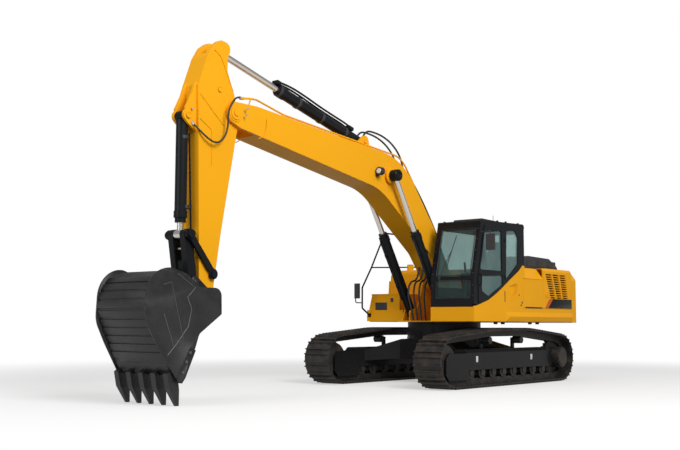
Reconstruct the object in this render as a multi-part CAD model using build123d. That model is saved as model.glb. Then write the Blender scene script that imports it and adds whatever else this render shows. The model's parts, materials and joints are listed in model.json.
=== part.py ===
from build123d import *
import os
from math import acos, atan2, cos, hypot, pi, radians, sin, sqrt

# Crawler excavator of the 33 tonne class, in millimetres.
# The origin is on the ground under the swing axis, +X points forward along the boom, +Y to the
# cab's side and +Z up. Each function makes one sub-part, and the table at the end names them all.

# ---------------------------------------------------------------- undercarriage sizes
TUMBLER_DISTANCE = 4125.0
IDLER_X = 2045.0
TRACK_GAUGE = 2590.0
SHOE_WIDTH = 600.0
SHOE_COUNT = 52
SHOE_PLATE = 14.0
GROUSER_HEIGHT = 36.0
LINK_PITCH = 203.0
SPROCKET_TEETH = 23
SPROCKET_WIDTH = 70.0
PIN_TO_SHOE = 62.0
PIN_TO_RAIL = 54.0
RAIL_GAP = 100.0
RAIL_THICKNESS = 45.0
RAIL_CLEARANCE = 0.3
CARRIER_CLEARANCE = 5.0
CARRIER_Z = 860.0
CARRIER_RADIUS = 75.0
CARRIER_X = (500.0, -700.0)
ROLLER_RADIUS = 100.0
ROLLER_FLANGE = 18.0
ROLLER_COUNT = 8
FRAME_WIDTH = 310.0
FRAME_PLATE = 16.0
FRAME_BOTTOM = 320.0
FRAME_SIDE_TOP = 640.0
FRAME_TOP = 700.0
FRAME_CHANNEL_TOP = 400.0
FRAME_FRONT_X = 1420.0
FORK_BOTTOM = 146.0
FORK_TOP = 633.0
FORK_REACH = 65.0
FORK_CHAMFER = 95.0
FORK_PLATE = 37.0
DRIVE_RADIUS = 210.0
DRIVE_REACH = 290.0
TOWER_RADIUS = 750.0
TOWER_TOP = 1090.0
BELLY_Z = 470.0
TOW_EYE_X = 860.0
TOW_EYE_Z = 565.0
TOW_EYE_HALF = 25.0
TOW_EYE_RADIUS = 32.0
BEARING_OUTER = 740.0
BEARING_INNER = 560.0
RUNNING_GAP = 0.5

SPROCKET_X = IDLER_X - TUMBLER_DISTANCE
TRACK_Y = TRACK_GAUGE / 2
PIN_RADIUS = LINK_PITCH / (2 * sin(2 * pi / SPROCKET_TEETH))
PIN_LINE_Z = GROUSER_HEIGHT + SHOE_PLATE + PIN_TO_SHOE
WHEEL_Z = PIN_LINE_Z + PIN_RADIUS
RAIL_OUTER = RAIL_GAP / 2 + RAIL_THICKNESS
FRAME_HALF = FRAME_WIDTH / 2

# ---------------------------------------------------------------- upper structure sizes
DECK_BOTTOM = 1210.0
DECK_PLATE = 25.0
UPPER_HALF_WIDTH = 1470.0
SKIRT_BOTTOM = 1222.0
SKIRT_TOP = 1492.0
SKIRT_THICKNESS = 40.0
SKIRT_RIDGE = 30.0
SKIRT_RIDGE_X = -93.0
SKIRT_RIDGE_Z = 1319.0
SKIRT_RIDGE_TOP = 1412.0
SKIRT_RIDGE_FADE = 150.0
CAB_SIDE_FRONT_X = 1205.0
RIGHT_FRONT_X = 680.0
NOSE_X = 850.0
NOSE_HALF_WIDTH = 545.0
COUNTERWEIGHT_DEPTH = 590.0
COUNTERWEIGHT_TOP = 2300.0
TAIL_RADIUS = 3350.0
TAIL_BEVEL = 230.0
SIDE_PANEL = 40.0
HOOD_Z = 2320.0
HOOD_SHEET = 25.0
SHOULDER_Z = 2090.0
SHOULDER_INSET = 175.0
CAB_PANEL_REAR_X = -650.0
FIREWALL_X = -760.0
HOOD_NOTCH_Y = -480.0
HOOD_SWING_ROOM = 22.0
COVER_RIBS = 6
SLAT_COUNT = 11
GRILLE_COLUMNS = 3
LOUVRE_COUNT = 6
LOUVRE_HEIGHT = 18.0
DOOR_SPLIT_X = -1505.0
PANEL_GAP = 6.0
BULKHEAD = 20.0
SPINE_Y = 256.0
SPINE_PLATE = 30.0
TOOL_BOX_X = (-50.0, 650.0)
TOOL_BOX_Y = (-1440.0, -650.0)
TOOL_BOX_TOP = 1760.0
TOOL_BOX_WALL = 12.0
TOOL_BOX_LEAN = 80.0
LID_THICKNESS = 25.0
TANK_TOP = 2310.0
TANK_CORNER = 160.0
TANK_INNER_Y = -506.0
TANK_PANEL_GAP = 5.0
PIN_LINE = 5.0

COUNTERWEIGHT_X = COUNTERWEIGHT_DEPTH - TAIL_RADIUS
DECK_TOP = DECK_BOTTOM + DECK_PLATE

# ---------------------------------------------------------------- cab sizes
CAB_RIGHT_Y = 495.0
CAB_FLOOR_Z = 1500.0
CAB_FLOOR_PLATE = 40.0
CAB_ROOF_Z = 3090.0
CAB_HEIGHT_Z = 3180.0
CAB_BROW_Z = 3146.0
CAB_FRONT_FOOT_X = 1195.0
CAB_FRONT_BEND_Z = 2050.0
CAB_FRONT_HEAD_X = 940.0
CAB_REAR_X = -710.0
CAB_WALL = 50.0
CAB_FRONT_WALL = 60.0
GLASS = 8.0
DOOR_FRONT_SETBACK = 135.0
DOOR_REAR_X = 75.0
DOOR_SILL = 25.0
DOOR_HEAD_Z = 3060.0
DOOR_GAP = 6.0
DOOR_HINGE_Z = (2080.0, 2800.0)

# ---------------------------------------------------------------- boom, arm and bucket sizes
BOOM_FOOT = (180.0, 1980.0)
BOOM_LENGTH = 6568.0
BOOM_ANGLE = 22.47
BOOM_HALF = 250.0
BOOM_FORK_DEPTH = 560.0
PIPE_Y = 215.0
PIPE_RADIUS = 16.0
PIPE_LIFT = 34.0
PIPE_RUN_IN = 650.0
PIPE_CLAMPS = (2960.0, 3427.0, 4376.0, 5560.0)
PIPE_BRACKET = 119.0
PIPE_TIP = ((986.0, 579.0), (349.0, 467.0), (229.0, 414.0), (20.0, 287.0))
LAMP_ALONG = 3000.0
LAMP_ACROSS = 930.0
FORK_GAP = 8.0
ARM_LENGTH = 3007.0
ARM_ANGLE = -81.12
ARM_HALF = 185.0
BOOM_CYLINDER_FOOT = (590.0, 1370.0)
BOOM_CYLINDER_Y = 385.0
BOOM_ROD_ALONG = 2624.0
BOOM_ROD_ACROSS = 1041.0
ARM_CYLINDER_ALONG = 3421.0
ARM_CYLINDER_LIFT = 125.28
ARM_ROD_ALONG = -956.0
ARM_ROD_ACROSS = 346.0
BUCKET_CYLINDER_ALONG = 302.0
BUCKET_CYLINDER_ACROSS = 855.0
GUIDE_SETBACK = 402.0
GUIDE_ACROSS = 5.0
BUCKET_HALF = 645.0
BUCKET_WALL = 25.0
BUCKET_TAPER = 4.7
BUCKET_LINK_X = 315.0
BUCKET_LINK_Z = 264.0
LINK_PIN_X = 427.0
LINK_PIN_Z = 981.0
PIN_RUNNING_GAP = 0.3
BOOM_BARREL = 92.0
BOOM_BARREL_LENGTH = 1850.0
BOOM_ROD = 52.0
BOOM_ROD_LENGTH = 1860.0
ARM_BARREL = 98.0
ARM_BARREL_LENGTH = 2300.0
ARM_ROD = 55.0
ARM_ROD_LENGTH = 2360.0
BUCKET_BARREL = 92.0
BUCKET_ROD_SHOWN = 183.0
BUCKET_ROD = 48.0
BUCKET_ROD_END = 283.0
BORE_GAP = 0.3
TOOTH_COUNT = 5
TOOTH_HALF = 50.0
TOOTH_SIDE_ROOM = 24.0
TOOTH_TIP_HALF = 20.0
TOOTH_ROOT_Z = -1290.0
TOOTH_TIP_Z = -1519.0
STRIP_COUNT = 9
STRIP_WIDTH = 55.0
STRIP_HEIGHT = 14.0
GUIDE_LOW = ARM_HALF + 12 + PIN_RUNNING_GAP
GUIDE_WIDTH = 45.0
GUIDE_WAIST = 50.0
GUIDE_PIN_REACH = ARM_HALF + 50
H_LOW = 80.0
H_HIGH = 188.0
EAR_LOW = 193.0
EAR_HIGH = 238.0
BUCKET_BACK_CENTRE = (991.0, -104.0)
BUCKET_BACK_RADIUS = 507.0
BUCKET_LIP = (917.0, -1178.0)
BUCKET_TOP_CORNER = (160.0, 170.0)


# ---------------------------------------------------------------- drawing helpers
def turn(point, degrees_up):
    """A point in X and Z turned upwards about the origin."""
    angle = radians(degrees_up)
    x, z = point
    return (x * cos(angle) - z * sin(angle), x * sin(angle) + z * cos(angle))


def placed(origin, degrees_up, along, across):
    """A point given along and across a line that leaves origin at an angle."""
    x, z = turn((along, across), degrees_up)
    return (origin[0] + x, origin[1] + z)


def side_plane(y):
    """The plane at y that faces -Y and is drawn on in X and Z."""
    return Plane(origin=(0, y, 0), x_dir=(1, 0, 0), z_dir=(0, -1, 0))


def slab_y(outline, low, high):
    """An outline in X and Z given thickness along Y."""
    return extrude(side_plane(high) * outline, amount=high - low)


def slab_x(outline, low, high):
    """An outline in Y and Z given thickness along X."""
    plane = Plane(origin=(low, 0, 0), x_dir=(0, 1, 0), z_dir=(1, 0, 0))
    return extrude(plane * outline, amount=high - low)


def slab_z(outline, low, high):
    """An outline in X and Y given thickness along Z."""
    return extrude(Plane.XY.offset(low) * outline, amount=high - low)


def polygon(*points):
    """A flat outline with sharp corners."""
    return make_face(Polyline(*points, close=True))


def rounded(*rows):
    """A flat outline whose rows hold a corner and its radius: across, up, radius."""
    corners = [(a, b) for a, b, _ in rows]
    return make_face(FilletPolyline(*corners, radius=[r for _, _, r in rows], close=True))


def rectangle(a_low, a_high, b_low, b_high):
    """A flat rectangle between two pairs of edges."""
    return polygon((a_low, b_low), (a_high, b_low), (a_high, b_high), (a_low, b_high))


def box(x, y, z):
    """A block between the low and high edges given for each axis."""
    return slab_z(rectangle(x[0], x[1], y[0], y[1]), z[0], z[1])


def tangent_edges(circles):
    """Edges of the belt round circles of (a, b, radius), listed anticlockwise."""
    normals = []
    for (a0, b0, r0), (a1, b1, r1) in zip(circles, circles[1:] + circles[:1]):
        heading = atan2(b1 - b0, a1 - a0)
        normals.append(heading - acos((r0 - r1) / hypot(a1 - a0, b1 - b0)))
    edges = []
    for i, (a, b, r) in enumerate(circles):
        start = normals[i - 1]
        sweep_angle = (normals[i] - start) % (2 * pi)
        rim = [
            (a + r * cos(start + share * sweep_angle), b + r * sin(start + share * sweep_angle))
            for share in (0, 0.5, 1)
        ]
        if r > 0:
            edges.append(ThreePointArc(*rim))
        a1, b1, r1 = circles[(i + 1) % len(circles)]
        edges.append(Line(rim[2], (a1 + r1 * cos(normals[i]), b1 + r1 * sin(normals[i]))))
    return edges


def belt(*circles):
    """A flat outline drawn tight round circles of (a, b, radius), listed anticlockwise."""
    return make_face(tangent_edges(list(circles)))


def drum(x, z, radius, low, high):
    """A cylinder across the machine."""
    return slab_y(Pos(x, z) * Circle(radius), low, high)


def bar(start, end, radius):
    """A round bar between two points."""
    run = Vector(*end) - Vector(*start)
    return Plane(origin=start, z_dir=run) * Cylinder(
        radius, run.length, align=(Align.CENTER, Align.CENTER, Align.MIN)
    )


def tube(points, bend, radius):
    """A round bar bent along straight runs."""
    path = FilletPolyline(*points, radius=bend)
    return sweep(Plane(origin=path @ 0, z_dir=path % 0) * Circle(radius), path=path)


def other_side(solid):
    """The same solid, or group of solids, on the other side of the machine."""
    mirrored = [mirror(piece, about=Plane.XZ) for piece in solid.solids()]
    return mirrored[0] if len(mirrored) == 1 else Compound(children=mirrored)


def both_sides(solid):
    """A solid and its mirror image."""
    return solid + other_side(solid)


# ---------------------------------------------------------------- tracks
def chain_pins():
    """Pin centres in X and Z round the track, and the direction outwards at each."""
    carriers = [(x, CARRIER_Z, CARRIER_RADIUS + PIN_TO_RAIL) for x in CARRIER_X]
    wheels = [(IDLER_X, WHEEL_Z, PIN_RADIUS), *carriers, (SPROCKET_X, WHEEL_Z, PIN_RADIUS)]
    path = Wire(tangent_edges(wheels))
    pins = [path @ (i / SHOE_COUNT) for i in range(SHOE_COUNT)]
    return [(pin.X, pin.Y) for pin in pins]


def chain_offset(pins, height):
    """The chain's polygon moved outwards by a height over the pin line."""
    points = []
    for i, (x, z) in enumerate(pins):
        before = pins[i - 1]
        after = pins[(i + 1) % len(pins)]
        length = hypot(after[0] - before[0], after[1] - before[1])
        outwards = ((after[1] - before[1]) / length, (before[0] - after[0]) / length)
        points.append((x + outwards[0] * height, z + outwards[1] * height))
    return points


# A shoe's profile: share of the pitch, and height over the plate in parts of the grouser's height.
SHOE_PROFILE = (
    (0.03, 0.0),
    (0.15, 0.0),
    (0.19, 1.0),
    (0.27, 1.0),
    (0.33, 0.0),
    (0.65, 0.0),
    (0.69, 1.0),
    (0.77, 1.0),
    (0.83, 0.0),
)


def track():
    """One track on the left, a closed loop of shoes on two rows of links."""
    pins = chain_pins()
    rim = []
    for i, (x, z) in enumerate(pins):
        after = pins[(i + 1) % len(pins)]
        dx, dz = after[0] - x, after[1] - z
        length = hypot(dx, dz)
        for share, rise in SHOE_PROFILE:
            height = (PIN_TO_SHOE + SHOE_PLATE + rise * GROUSER_HEIGHT) / length
            rim.append((x + share * dx + height * dz, z + share * dz - height * dx))
    shoe_back = chain_offset(pins, PIN_TO_SHOE)
    shoes = slab_y(
        polygon(*rim) - polygon(*shoe_back),
        TRACK_Y - SHOE_WIDTH / 2,
        TRACK_Y + SHOE_WIDTH / 2,
    )
    link_ring = polygon(*shoe_back) - polygon(*chain_offset(pins, -PIN_TO_RAIL))
    inner_rail = slab_y(link_ring, TRACK_Y - RAIL_OUTER, TRACK_Y - RAIL_GAP / 2)
    outer_rail = slab_y(link_ring, TRACK_Y + RAIL_GAP / 2, TRACK_Y + RAIL_OUTER)
    return shoes + inner_rail + outer_rail


def rail_radius():
    """How far the middle of a link's rail stays from the centre of a wheel."""
    pins = chain_pins()
    pitch = hypot(pins[1][0] - pins[0][0], pins[1][1] - pins[0][1])
    return sqrt(PIN_RADIUS**2 - pitch**2 / 4) - PIN_TO_RAIL


def track_frame():
    """The left track frame: box beam, idler fork, drive bracket and carrier posts."""
    half = FRAME_HALF
    inner = half - FRAME_PLATE
    section = polygon(
        (TRACK_Y - half, FRAME_BOTTOM),
        (TRACK_Y - inner, FRAME_BOTTOM),
        (TRACK_Y - inner, FRAME_CHANNEL_TOP),
        (TRACK_Y + inner, FRAME_CHANNEL_TOP),
        (TRACK_Y + inner, FRAME_BOTTOM),
        (TRACK_Y + half, FRAME_BOTTOM),
        (TRACK_Y + half, FRAME_SIDE_TOP),
        (TRACK_Y + half - (FRAME_TOP - FRAME_SIDE_TOP), FRAME_TOP),
        (TRACK_Y - half + (FRAME_TOP - FRAME_SIDE_TOP), FRAME_TOP),
        (TRACK_Y - half, FRAME_SIDE_TOP),
    )
    beam_rear = SPROCKET_X + PIN_RADIUS + 40
    beam = slab_x(section, beam_rear, FRAME_FRONT_X)
    fork = rounded(
        (FRAME_FRONT_X - 60, FORK_BOTTOM, 0),
        (IDLER_X + FORK_REACH - FORK_CHAMFER, FORK_BOTTOM, 0),
        (IDLER_X + FORK_REACH, FORK_BOTTOM + FORK_CHAMFER, 0),
        (IDLER_X + FORK_REACH, FORK_TOP - FORK_CHAMFER, 0),
        (IDLER_X + FORK_REACH - FORK_CHAMFER, FORK_TOP, 0),
        (FRAME_FRONT_X - 60, FORK_TOP, 0),
    )
    outer_fork = slab_y(fork, TRACK_Y + half - FORK_PLATE, TRACK_Y + half)
    inner_fork = slab_y(fork, TRACK_Y - half, TRACK_Y - half + FORK_PLATE)
    bracket = belt(
        (SPROCKET_X, WHEEL_Z, DRIVE_RADIUS + 25),
        (beam_rear + 60, FRAME_BOTTOM + 40, 40),
        (beam_rear + 60, FRAME_SIDE_TOP - 40, 40),
    )
    drive_bracket = slab_y(bracket, TRACK_Y - half, TRACK_Y - half + FORK_PLATE)
    motor = drum(SPROCKET_X, WHEEL_Z, DRIVE_RADIUS * 0.65, TRACK_Y - half - 150, TRACK_Y - half)
    outer_plate = slab_y(
        rectangle(SPROCKET_X + DRIVE_RADIUS + 15, beam_rear, FRAME_BOTTOM, FRAME_SIDE_TOP),
        TRACK_Y + inner,
        TRACK_Y + half,
    )
    frame = beam + outer_fork + inner_fork + drive_bracket + motor + outer_plate
    for x in CARRIER_X:
        frame += box(
            (x - 45, x + 45),
            (TRACK_Y - RAIL_OUTER - 45, TRACK_Y - RAIL_OUTER - 5),
            (FRAME_SIDE_TOP, CARRIER_Z + 45),
        )
    return frame


def drive_sprocket():
    """The left sprocket with its teeth, and the final drive in its middle."""
    bushing = 34.0
    root = PIN_RADIUS - bushing
    tip = PIN_RADIUS + 12
    step = 2 * pi / SPROCKET_TEETH
    rim = []
    for i in range(SPROCKET_TEETH):
        for share, radius in ((-0.34, root), (-0.13, tip), (0.13, tip), (0.34, root)):
            angle = (i + share) * step
            rim.append((SPROCKET_X + radius * cos(angle), WHEEL_Z + radius * sin(angle)))
    half = SPROCKET_WIDTH / 2
    teeth = slab_y(polygon(*rim), TRACK_Y - half, TRACK_Y + half)
    drive_low = TRACK_Y - FRAME_HALF + FORK_PLATE
    housing = drum(SPROCKET_X, WHEEL_Z, DRIVE_RADIUS, drive_low, TRACK_Y + DRIVE_REACH - 90)
    cover = drum(SPROCKET_X, WHEEL_Z, DRIVE_RADIUS - 8, TRACK_Y, TRACK_Y + DRIVE_REACH - 12)
    cap = drum(SPROCKET_X, WHEEL_Z, DRIVE_RADIUS - 40, TRACK_Y, TRACK_Y + DRIVE_REACH)
    return teeth + housing + cover + cap


def idler():
    """The left idler wheel on its shaft, which ends at the fork's plates."""
    tread = rail_radius() - RAIL_CLEARANCE
    wheel = drum(IDLER_X, WHEEL_Z, tread, TRACK_Y - RAIL_OUTER, TRACK_Y + RAIL_OUTER)
    guide = RAIL_GAP / 2 - 6
    flange = drum(IDLER_X, WHEEL_Z, tread + 22, TRACK_Y - guide, TRACK_Y + guide)
    reach = FRAME_HALF - FORK_PLATE
    shaft = drum(IDLER_X, WHEEL_Z, 60, TRACK_Y - reach, TRACK_Y + reach)
    return wheel + flange + shaft


def track_rollers():
    """The left track's bottom rollers under the frame, and its carrier rollers on top."""
    reach = FRAME_HALF - FRAME_PLATE
    centre_z = PIN_LINE_Z + PIN_TO_RAIL + RAIL_CLEARANCE + ROLLER_RADIUS
    first, last = FRAME_FRONT_X - 190, SPROCKET_X + PIN_RADIUS + 200
    rollers = []
    for i in range(ROLLER_COUNT):
        x = first + (last - first) * i / (ROLLER_COUNT - 1)
        roller = drum(x, centre_z, ROLLER_RADIUS, TRACK_Y - RAIL_OUTER - 5, TRACK_Y + RAIL_OUTER + 5)
        for side in (-1, 1):
            middle = TRACK_Y + side * (RAIL_OUTER + 12)
            roller += drum(x, centre_z, ROLLER_RADIUS + ROLLER_FLANGE, middle - 7, middle + 7)
            ends = sorted((TRACK_Y + side * (RAIL_OUTER + 19), TRACK_Y + side * reach))
            roller += box((x - 55, x + 55), ends, (centre_z - 50, FRAME_CHANNEL_TOP))
        rollers.append(roller)
    for x in CARRIER_X:
        radius = CARRIER_RADIUS - CARRIER_CLEARANCE
        carrier = drum(x, CARRIER_Z, radius, TRACK_Y - RAIL_OUTER, TRACK_Y + RAIL_OUTER)
        rollers.append(carrier + drum(x, CARRIER_Z, 30, TRACK_Y - RAIL_OUTER - 5, TRACK_Y))
    return Compound(children=rollers)


def car_body():
    """The centre body: a round tower and four legs that reach the track frames."""
    tower = slab_z(Circle(TOWER_RADIUS), FRAME_TOP, TOWER_TOP)
    belly = box((-760, 760), (-560, 560), (BELLY_Z, FRAME_TOP + 160))
    body = tower + belly
    frame_face = TRACK_Y - FRAME_HALF
    # Leg sections: sideways place, nearer end, farther end, bottom, top.
    sections = ((540.0, 200.0, 740.0, BELLY_Z + 10, 870.0), (frame_face, 660.0, 1180.0, 430.0, 640.0))
    for front in (1, -1):
        faces = []
        for y, near, far, low, high in sections:
            ends = sorted((front * near, front * far))
            faces.append(side_plane(y) * rectangle(ends[0], ends[1], low, high))
        leg = loft(faces, ruled=True)
        body += leg + other_side(leg)
    lug = belt((740, -100, 10), (TOW_EYE_X, 0, 2 * TOW_EYE_RADIUS), (740, 100, 10))
    eye = slab_z(
        lug - Pos(TOW_EYE_X, 0) * Circle(TOW_EYE_RADIUS), TOW_EYE_Z - TOW_EYE_HALF, TOW_EYE_Z + TOW_EYE_HALF
    )
    return body + eye + mirror(eye, about=Plane.YZ)


def swing_bearing():
    """The ring that the upper structure turns on."""
    ring = Circle(BEARING_OUTER) - Circle(BEARING_INNER)
    return slab_z(ring, TOWER_TOP, DECK_BOTTOM - RUNNING_GAP)


# ---------------------------------------------------------------- deck and counterweight

def main_deck():
    """The revolving frame: floor plate, two spine plates with the boom's brackets, cross walls."""
    half = UPPER_HALF_WIDTH - SKIRT_THICKNESS
    plate = slab_z(
        polygon(
            (COUNTERWEIGHT_X, -half),
            (RIGHT_FRONT_X - SKIRT_THICKNESS, -half),
            (RIGHT_FRONT_X - SKIRT_THICKNESS, -NOSE_HALF_WIDTH),
            (NOSE_X, -NOSE_HALF_WIDTH),
            (NOSE_X, CAB_RIGHT_Y),
            (CAB_SIDE_FRONT_X - SKIRT_THICKNESS, CAB_RIGHT_Y),
            (CAB_SIDE_FRONT_X - SKIRT_THICKNESS, half),
            (COUNTERWEIGHT_X, half),
        ),
        DECK_BOTTOM,
        DECK_TOP,
    )
    foot_x, foot_z = BOOM_FOOT
    ram_x, ram_z = BOOM_CYLINDER_FOOT
    spine = rounded(
        (COUNTERWEIGHT_X, DECK_TOP, 0),
        (NOSE_X - 20, DECK_TOP, 0),
        (NOSE_X - 20, ram_z + 60, 60),
        (ram_x - 20, ram_z + 130, 120),
        (foot_x + 170, foot_z + 30, 130),
        (foot_x + 60, foot_z + 150, 110),
        (foot_x - 120, foot_z + 130, 120),
        (foot_x - 520, DECK_TOP + 420, 300),
        (-1500, DECK_TOP + 180, 0),
        (COUNTERWEIGHT_X, DECK_TOP + 180, 0),
    )
    deck = plate + both_sides(slab_y(spine, SPINE_Y, SPINE_Y + SPINE_PLATE))
    ram_low = BOOM_CYLINDER_Y + 100
    ear = belt((ram_x - 180, DECK_TOP + 5, 5), (ram_x + 180, DECK_TOP + 5, 5), (ram_x, ram_z, 105))
    deck += both_sides(slab_y(ear, ram_low + 3, ram_low + 33))
    for x in (foot_x - 560, FIREWALL_X - 900):
        deck += box((x, x + BULKHEAD), (-SPINE_Y, SPINE_Y), (DECK_TOP, DECK_TOP + 160))
    deck += drum(foot_x, foot_z, 62, -SPINE_Y - SPINE_PLATE - 30, SPINE_Y + SPINE_PLATE + 30)
    for side in (-1, 1):
        ends = sorted((side * (SPINE_Y + SPINE_PLATE), side * (ram_low + 3)))
        deck += drum(ram_x, ram_z, 48, *ends)
    return deck


def left_skirt():
    """The left side beam under the cab, with a ridge along its rear half that fades out forwards."""
    low, high = UPPER_HALF_WIDTH - SKIRT_THICKNESS, UPPER_HALF_WIDTH
    side = box((COUNTERWEIGHT_X, CAB_SIDE_FRONT_X), (low, high), (SKIRT_BOTTOM, SKIRT_TOP))
    front = box(
        (CAB_SIDE_FRONT_X - SKIRT_THICKNESS, CAB_SIDE_FRONT_X),
        (CAB_RIGHT_Y, high),
        (SKIRT_BOTTOM, SKIRT_TOP),
    )
    ridge_end = SKIRT_RIDGE_X + SKIRT_RIDGE_FADE
    crest = high + SKIRT_RIDGE
    ridge = slab_x(
        polygon((high - 5, SKIRT_BOTTOM), (high, SKIRT_BOTTOM), (crest, SKIRT_RIDGE_Z),
                (high, SKIRT_RIDGE_TOP), (high - 5, SKIRT_RIDGE_TOP)),
        COUNTERWEIGHT_X,
        ridge_end,
    )
    fade = slab_z(
        polygon((COUNTERWEIGHT_X, high - 5), (ridge_end, high - 5), (ridge_end, high),
                (SKIRT_RIDGE_X, crest), (COUNTERWEIGHT_X, crest)),
        SKIRT_BOTTOM,
        SKIRT_TOP,
    )
    return side + front + (ridge & fade)


def right_skirt():
    """The right side beam, from the tool box back to the counterweight."""
    low, high = UPPER_HALF_WIDTH - SKIRT_THICKNESS, UPPER_HALF_WIDTH
    top = SKIRT_TOP - 40
    side = box((COUNTERWEIGHT_X, RIGHT_FRONT_X), (-high, -low), (SKIRT_BOTTOM, top))
    front = box(
        (RIGHT_FRONT_X - SKIRT_THICKNESS, RIGHT_FRONT_X),
        (-high, -NOSE_HALF_WIDTH),
        (SKIRT_BOTTOM, top),
    )
    return side + front


def counterweight():
    """The cast counterweight: a rounded tail with sloping shoulders and a sloping top edge."""
    half = UPPER_HALF_WIDTH
    corner_x = -sqrt(TAIL_RADIUS**2 - half**2)
    outline = [
        Line((COUNTERWEIGHT_X, half), (corner_x + 60, half)),
        ThreePointArc((corner_x + 60, half), (corner_x + 12, half - 22), (corner_x - 12, half - 70)),
        ThreePointArc((corner_x - 12, half - 70), (-TAIL_RADIUS, 0), (corner_x - 12, 70 - half)),
        ThreePointArc((corner_x - 12, 70 - half), (corner_x + 12, 22 - half), (corner_x + 60, -half)),
        Line((corner_x + 60, -half), (COUNTERWEIGHT_X, -half)),
        Line((COUNTERWEIGHT_X, -half), (COUNTERWEIGHT_X, half)),
    ]
    plan = make_face(outline)
    body = slab_z(plan, DECK_BOTTOM - 5, COUNTERWEIGHT_TOP)
    side_view = polygon(
        (COUNTERWEIGHT_X, DECK_BOTTOM - 5),
        (-TAIL_RADIUS + 60, DECK_BOTTOM - 5),
        (-TAIL_RADIUS, DECK_BOTTOM + 80),
        (-TAIL_RADIUS, COUNTERWEIGHT_TOP - TAIL_BEVEL),
        (-TAIL_RADIUS + TAIL_BEVEL, COUNTERWEIGHT_TOP),
        (COUNTERWEIGHT_X, COUNTERWEIGHT_TOP),
    )
    shoulders = polygon(
        (-half, DECK_BOTTOM - 5), (half, DECK_BOTTOM - 5), (half, SHOULDER_Z + 25),
        (half - SHOULDER_INSET, COUNTERWEIGHT_TOP), (SHOULDER_INSET - half, COUNTERWEIGHT_TOP),
        (-half, SHOULDER_Z + 25),
    )
    shaped = body & slab_y(side_view, -half, half)
    return shaped & slab_x(shoulders, -TAIL_RADIUS, COUNTERWEIGHT_X)


# ---------------------------------------------------------------- house
def cab_sweep():
    """The curve that parts the cab from the panels under it: x, z from front to rear."""
    return [(1170.0, 1505.0), (1085.0, 1520.0), (682.0, 1627.0), (400.0, 1750.0), (153.0, 1877.0),
            (-161.0, 2055.0), (-483.0, 2225.0), (CAB_PANEL_REAR_X, 2353.0)]


def sweep_height(x):
    """The height of the cab's lower curve at a place along the machine."""
    for (x0, z0), (x1, z1) in zip(cab_sweep(), cab_sweep()[1:]):
        if x >= x1:
            return z0 + (z1 - z0) * (x - x0) / (x1 - x0)
    return cab_sweep()[-1][1]


def house_frame():
    """Posts and rails that carry the doors and the hood, and the wall behind the cab."""
    half = UPPER_HALF_WIDTH - SIDE_PANEL - PANEL_GAP
    top = HOOD_Z - HOOD_SHEET - PANEL_GAP
    gable = polygon(
        (-half, DECK_TOP), (half, DECK_TOP), (half, SHOULDER_Z - 40), (half - 215, top),
        (215 - half, top), (-half, SHOULDER_Z - 40),
    )
    inside = rectangle(-half + 60, half - 60, DECK_TOP, SHOULDER_Z - 60)
    frame = slab_x(gable, FIREWALL_X, FIREWALL_X + BULKHEAD)
    frame -= box(
        (FIREWALL_X, FIREWALL_X + BULKHEAD), (-SPINE_Y - 60, SPINE_Y + 60), (DECK_TOP, DECK_TOP + 460)
    )
    rib = slab_x(gable - inside, DOOR_SPLIT_X - 20, DOOR_SPLIT_X + 20)
    rear = slab_x(gable - inside, COUNTERWEIGHT_X + 1, COUNTERWEIGHT_X + 41)
    frame += rib + rear
    for y, front in ((half - 260, FIREWALL_X), (220 - half, DOOR_SPLIT_X)):
        frame += box((COUNTERWEIGHT_X + 1, front), (y, y + 40), (top - 40, top))
    for side in (-1, 1):
        ends = sorted((side * half, side * (half - 40)))
        frame += box((COUNTERWEIGHT_X + 1, FIREWALL_X), ends, (SKIRT_TOP - 40, SKIRT_TOP))
    return frame


def cab_side_panel():
    """The fixed left panel under the cab's curve, with slanting air slots, up to the hood's end."""
    head = FIREWALL_X + BULKHEAD + HOOD_SWING_ROOM
    outline = polygon(
        (CAB_PANEL_REAR_X, SKIRT_TOP), (cab_sweep()[0][0], SKIRT_TOP), *cab_sweep(),
        (head, HOOD_Z + 10), (head, SHOULDER_Z), (CAB_PANEL_REAR_X, SHOULDER_Z),
    )
    for i in range(LOUVRE_COUNT):
        share = (i + 0.5) / LOUVRE_COUNT
        rear = (-402 - share * 32, 1804 + share * 180)
        front = (-145 + share * 5, 1649 + share * 267)
        outline -= polygon(
            rear, front, (front[0], front[1] + LOUVRE_HEIGHT), (rear[0], rear[1] + LOUVRE_HEIGHT)
        )
    return slab_y(outline, UPPER_HALF_WIDTH - SIDE_PANEL, UPPER_HALF_WIDTH)


def hinge_blocks(edge_x):
    """Two hinge blocks inside a left door's rear edge, and the pins on its outer corner."""
    inside = UPPER_HALF_WIDTH - SIDE_PANEL
    blocks = []
    for z in (1560, 1900):
        block = box((edge_x, edge_x + 24), (inside - PANEL_GAP + 0.3, inside + 1), (z, z + 80))
        pin = bar((edge_x, UPPER_HALF_WIDTH, z), (edge_x, UPPER_HALF_WIDTH, z + 80), PIN_LINE)
        blocks.append(block + pin)
    return blocks


def left_service_door():
    """The left door behind the cab, hinged at its rear edge."""
    rear = DOOR_SPLIT_X + PANEL_GAP / 2
    outline = rectangle(rear, CAB_PANEL_REAR_X - PANEL_GAP, SKIRT_TOP + PANEL_GAP, SHOULDER_Z - PANEL_GAP)
    return slab_y(outline, UPPER_HALF_WIDTH - SIDE_PANEL, UPPER_HALF_WIDTH) + hinge_blocks(rear)


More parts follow.
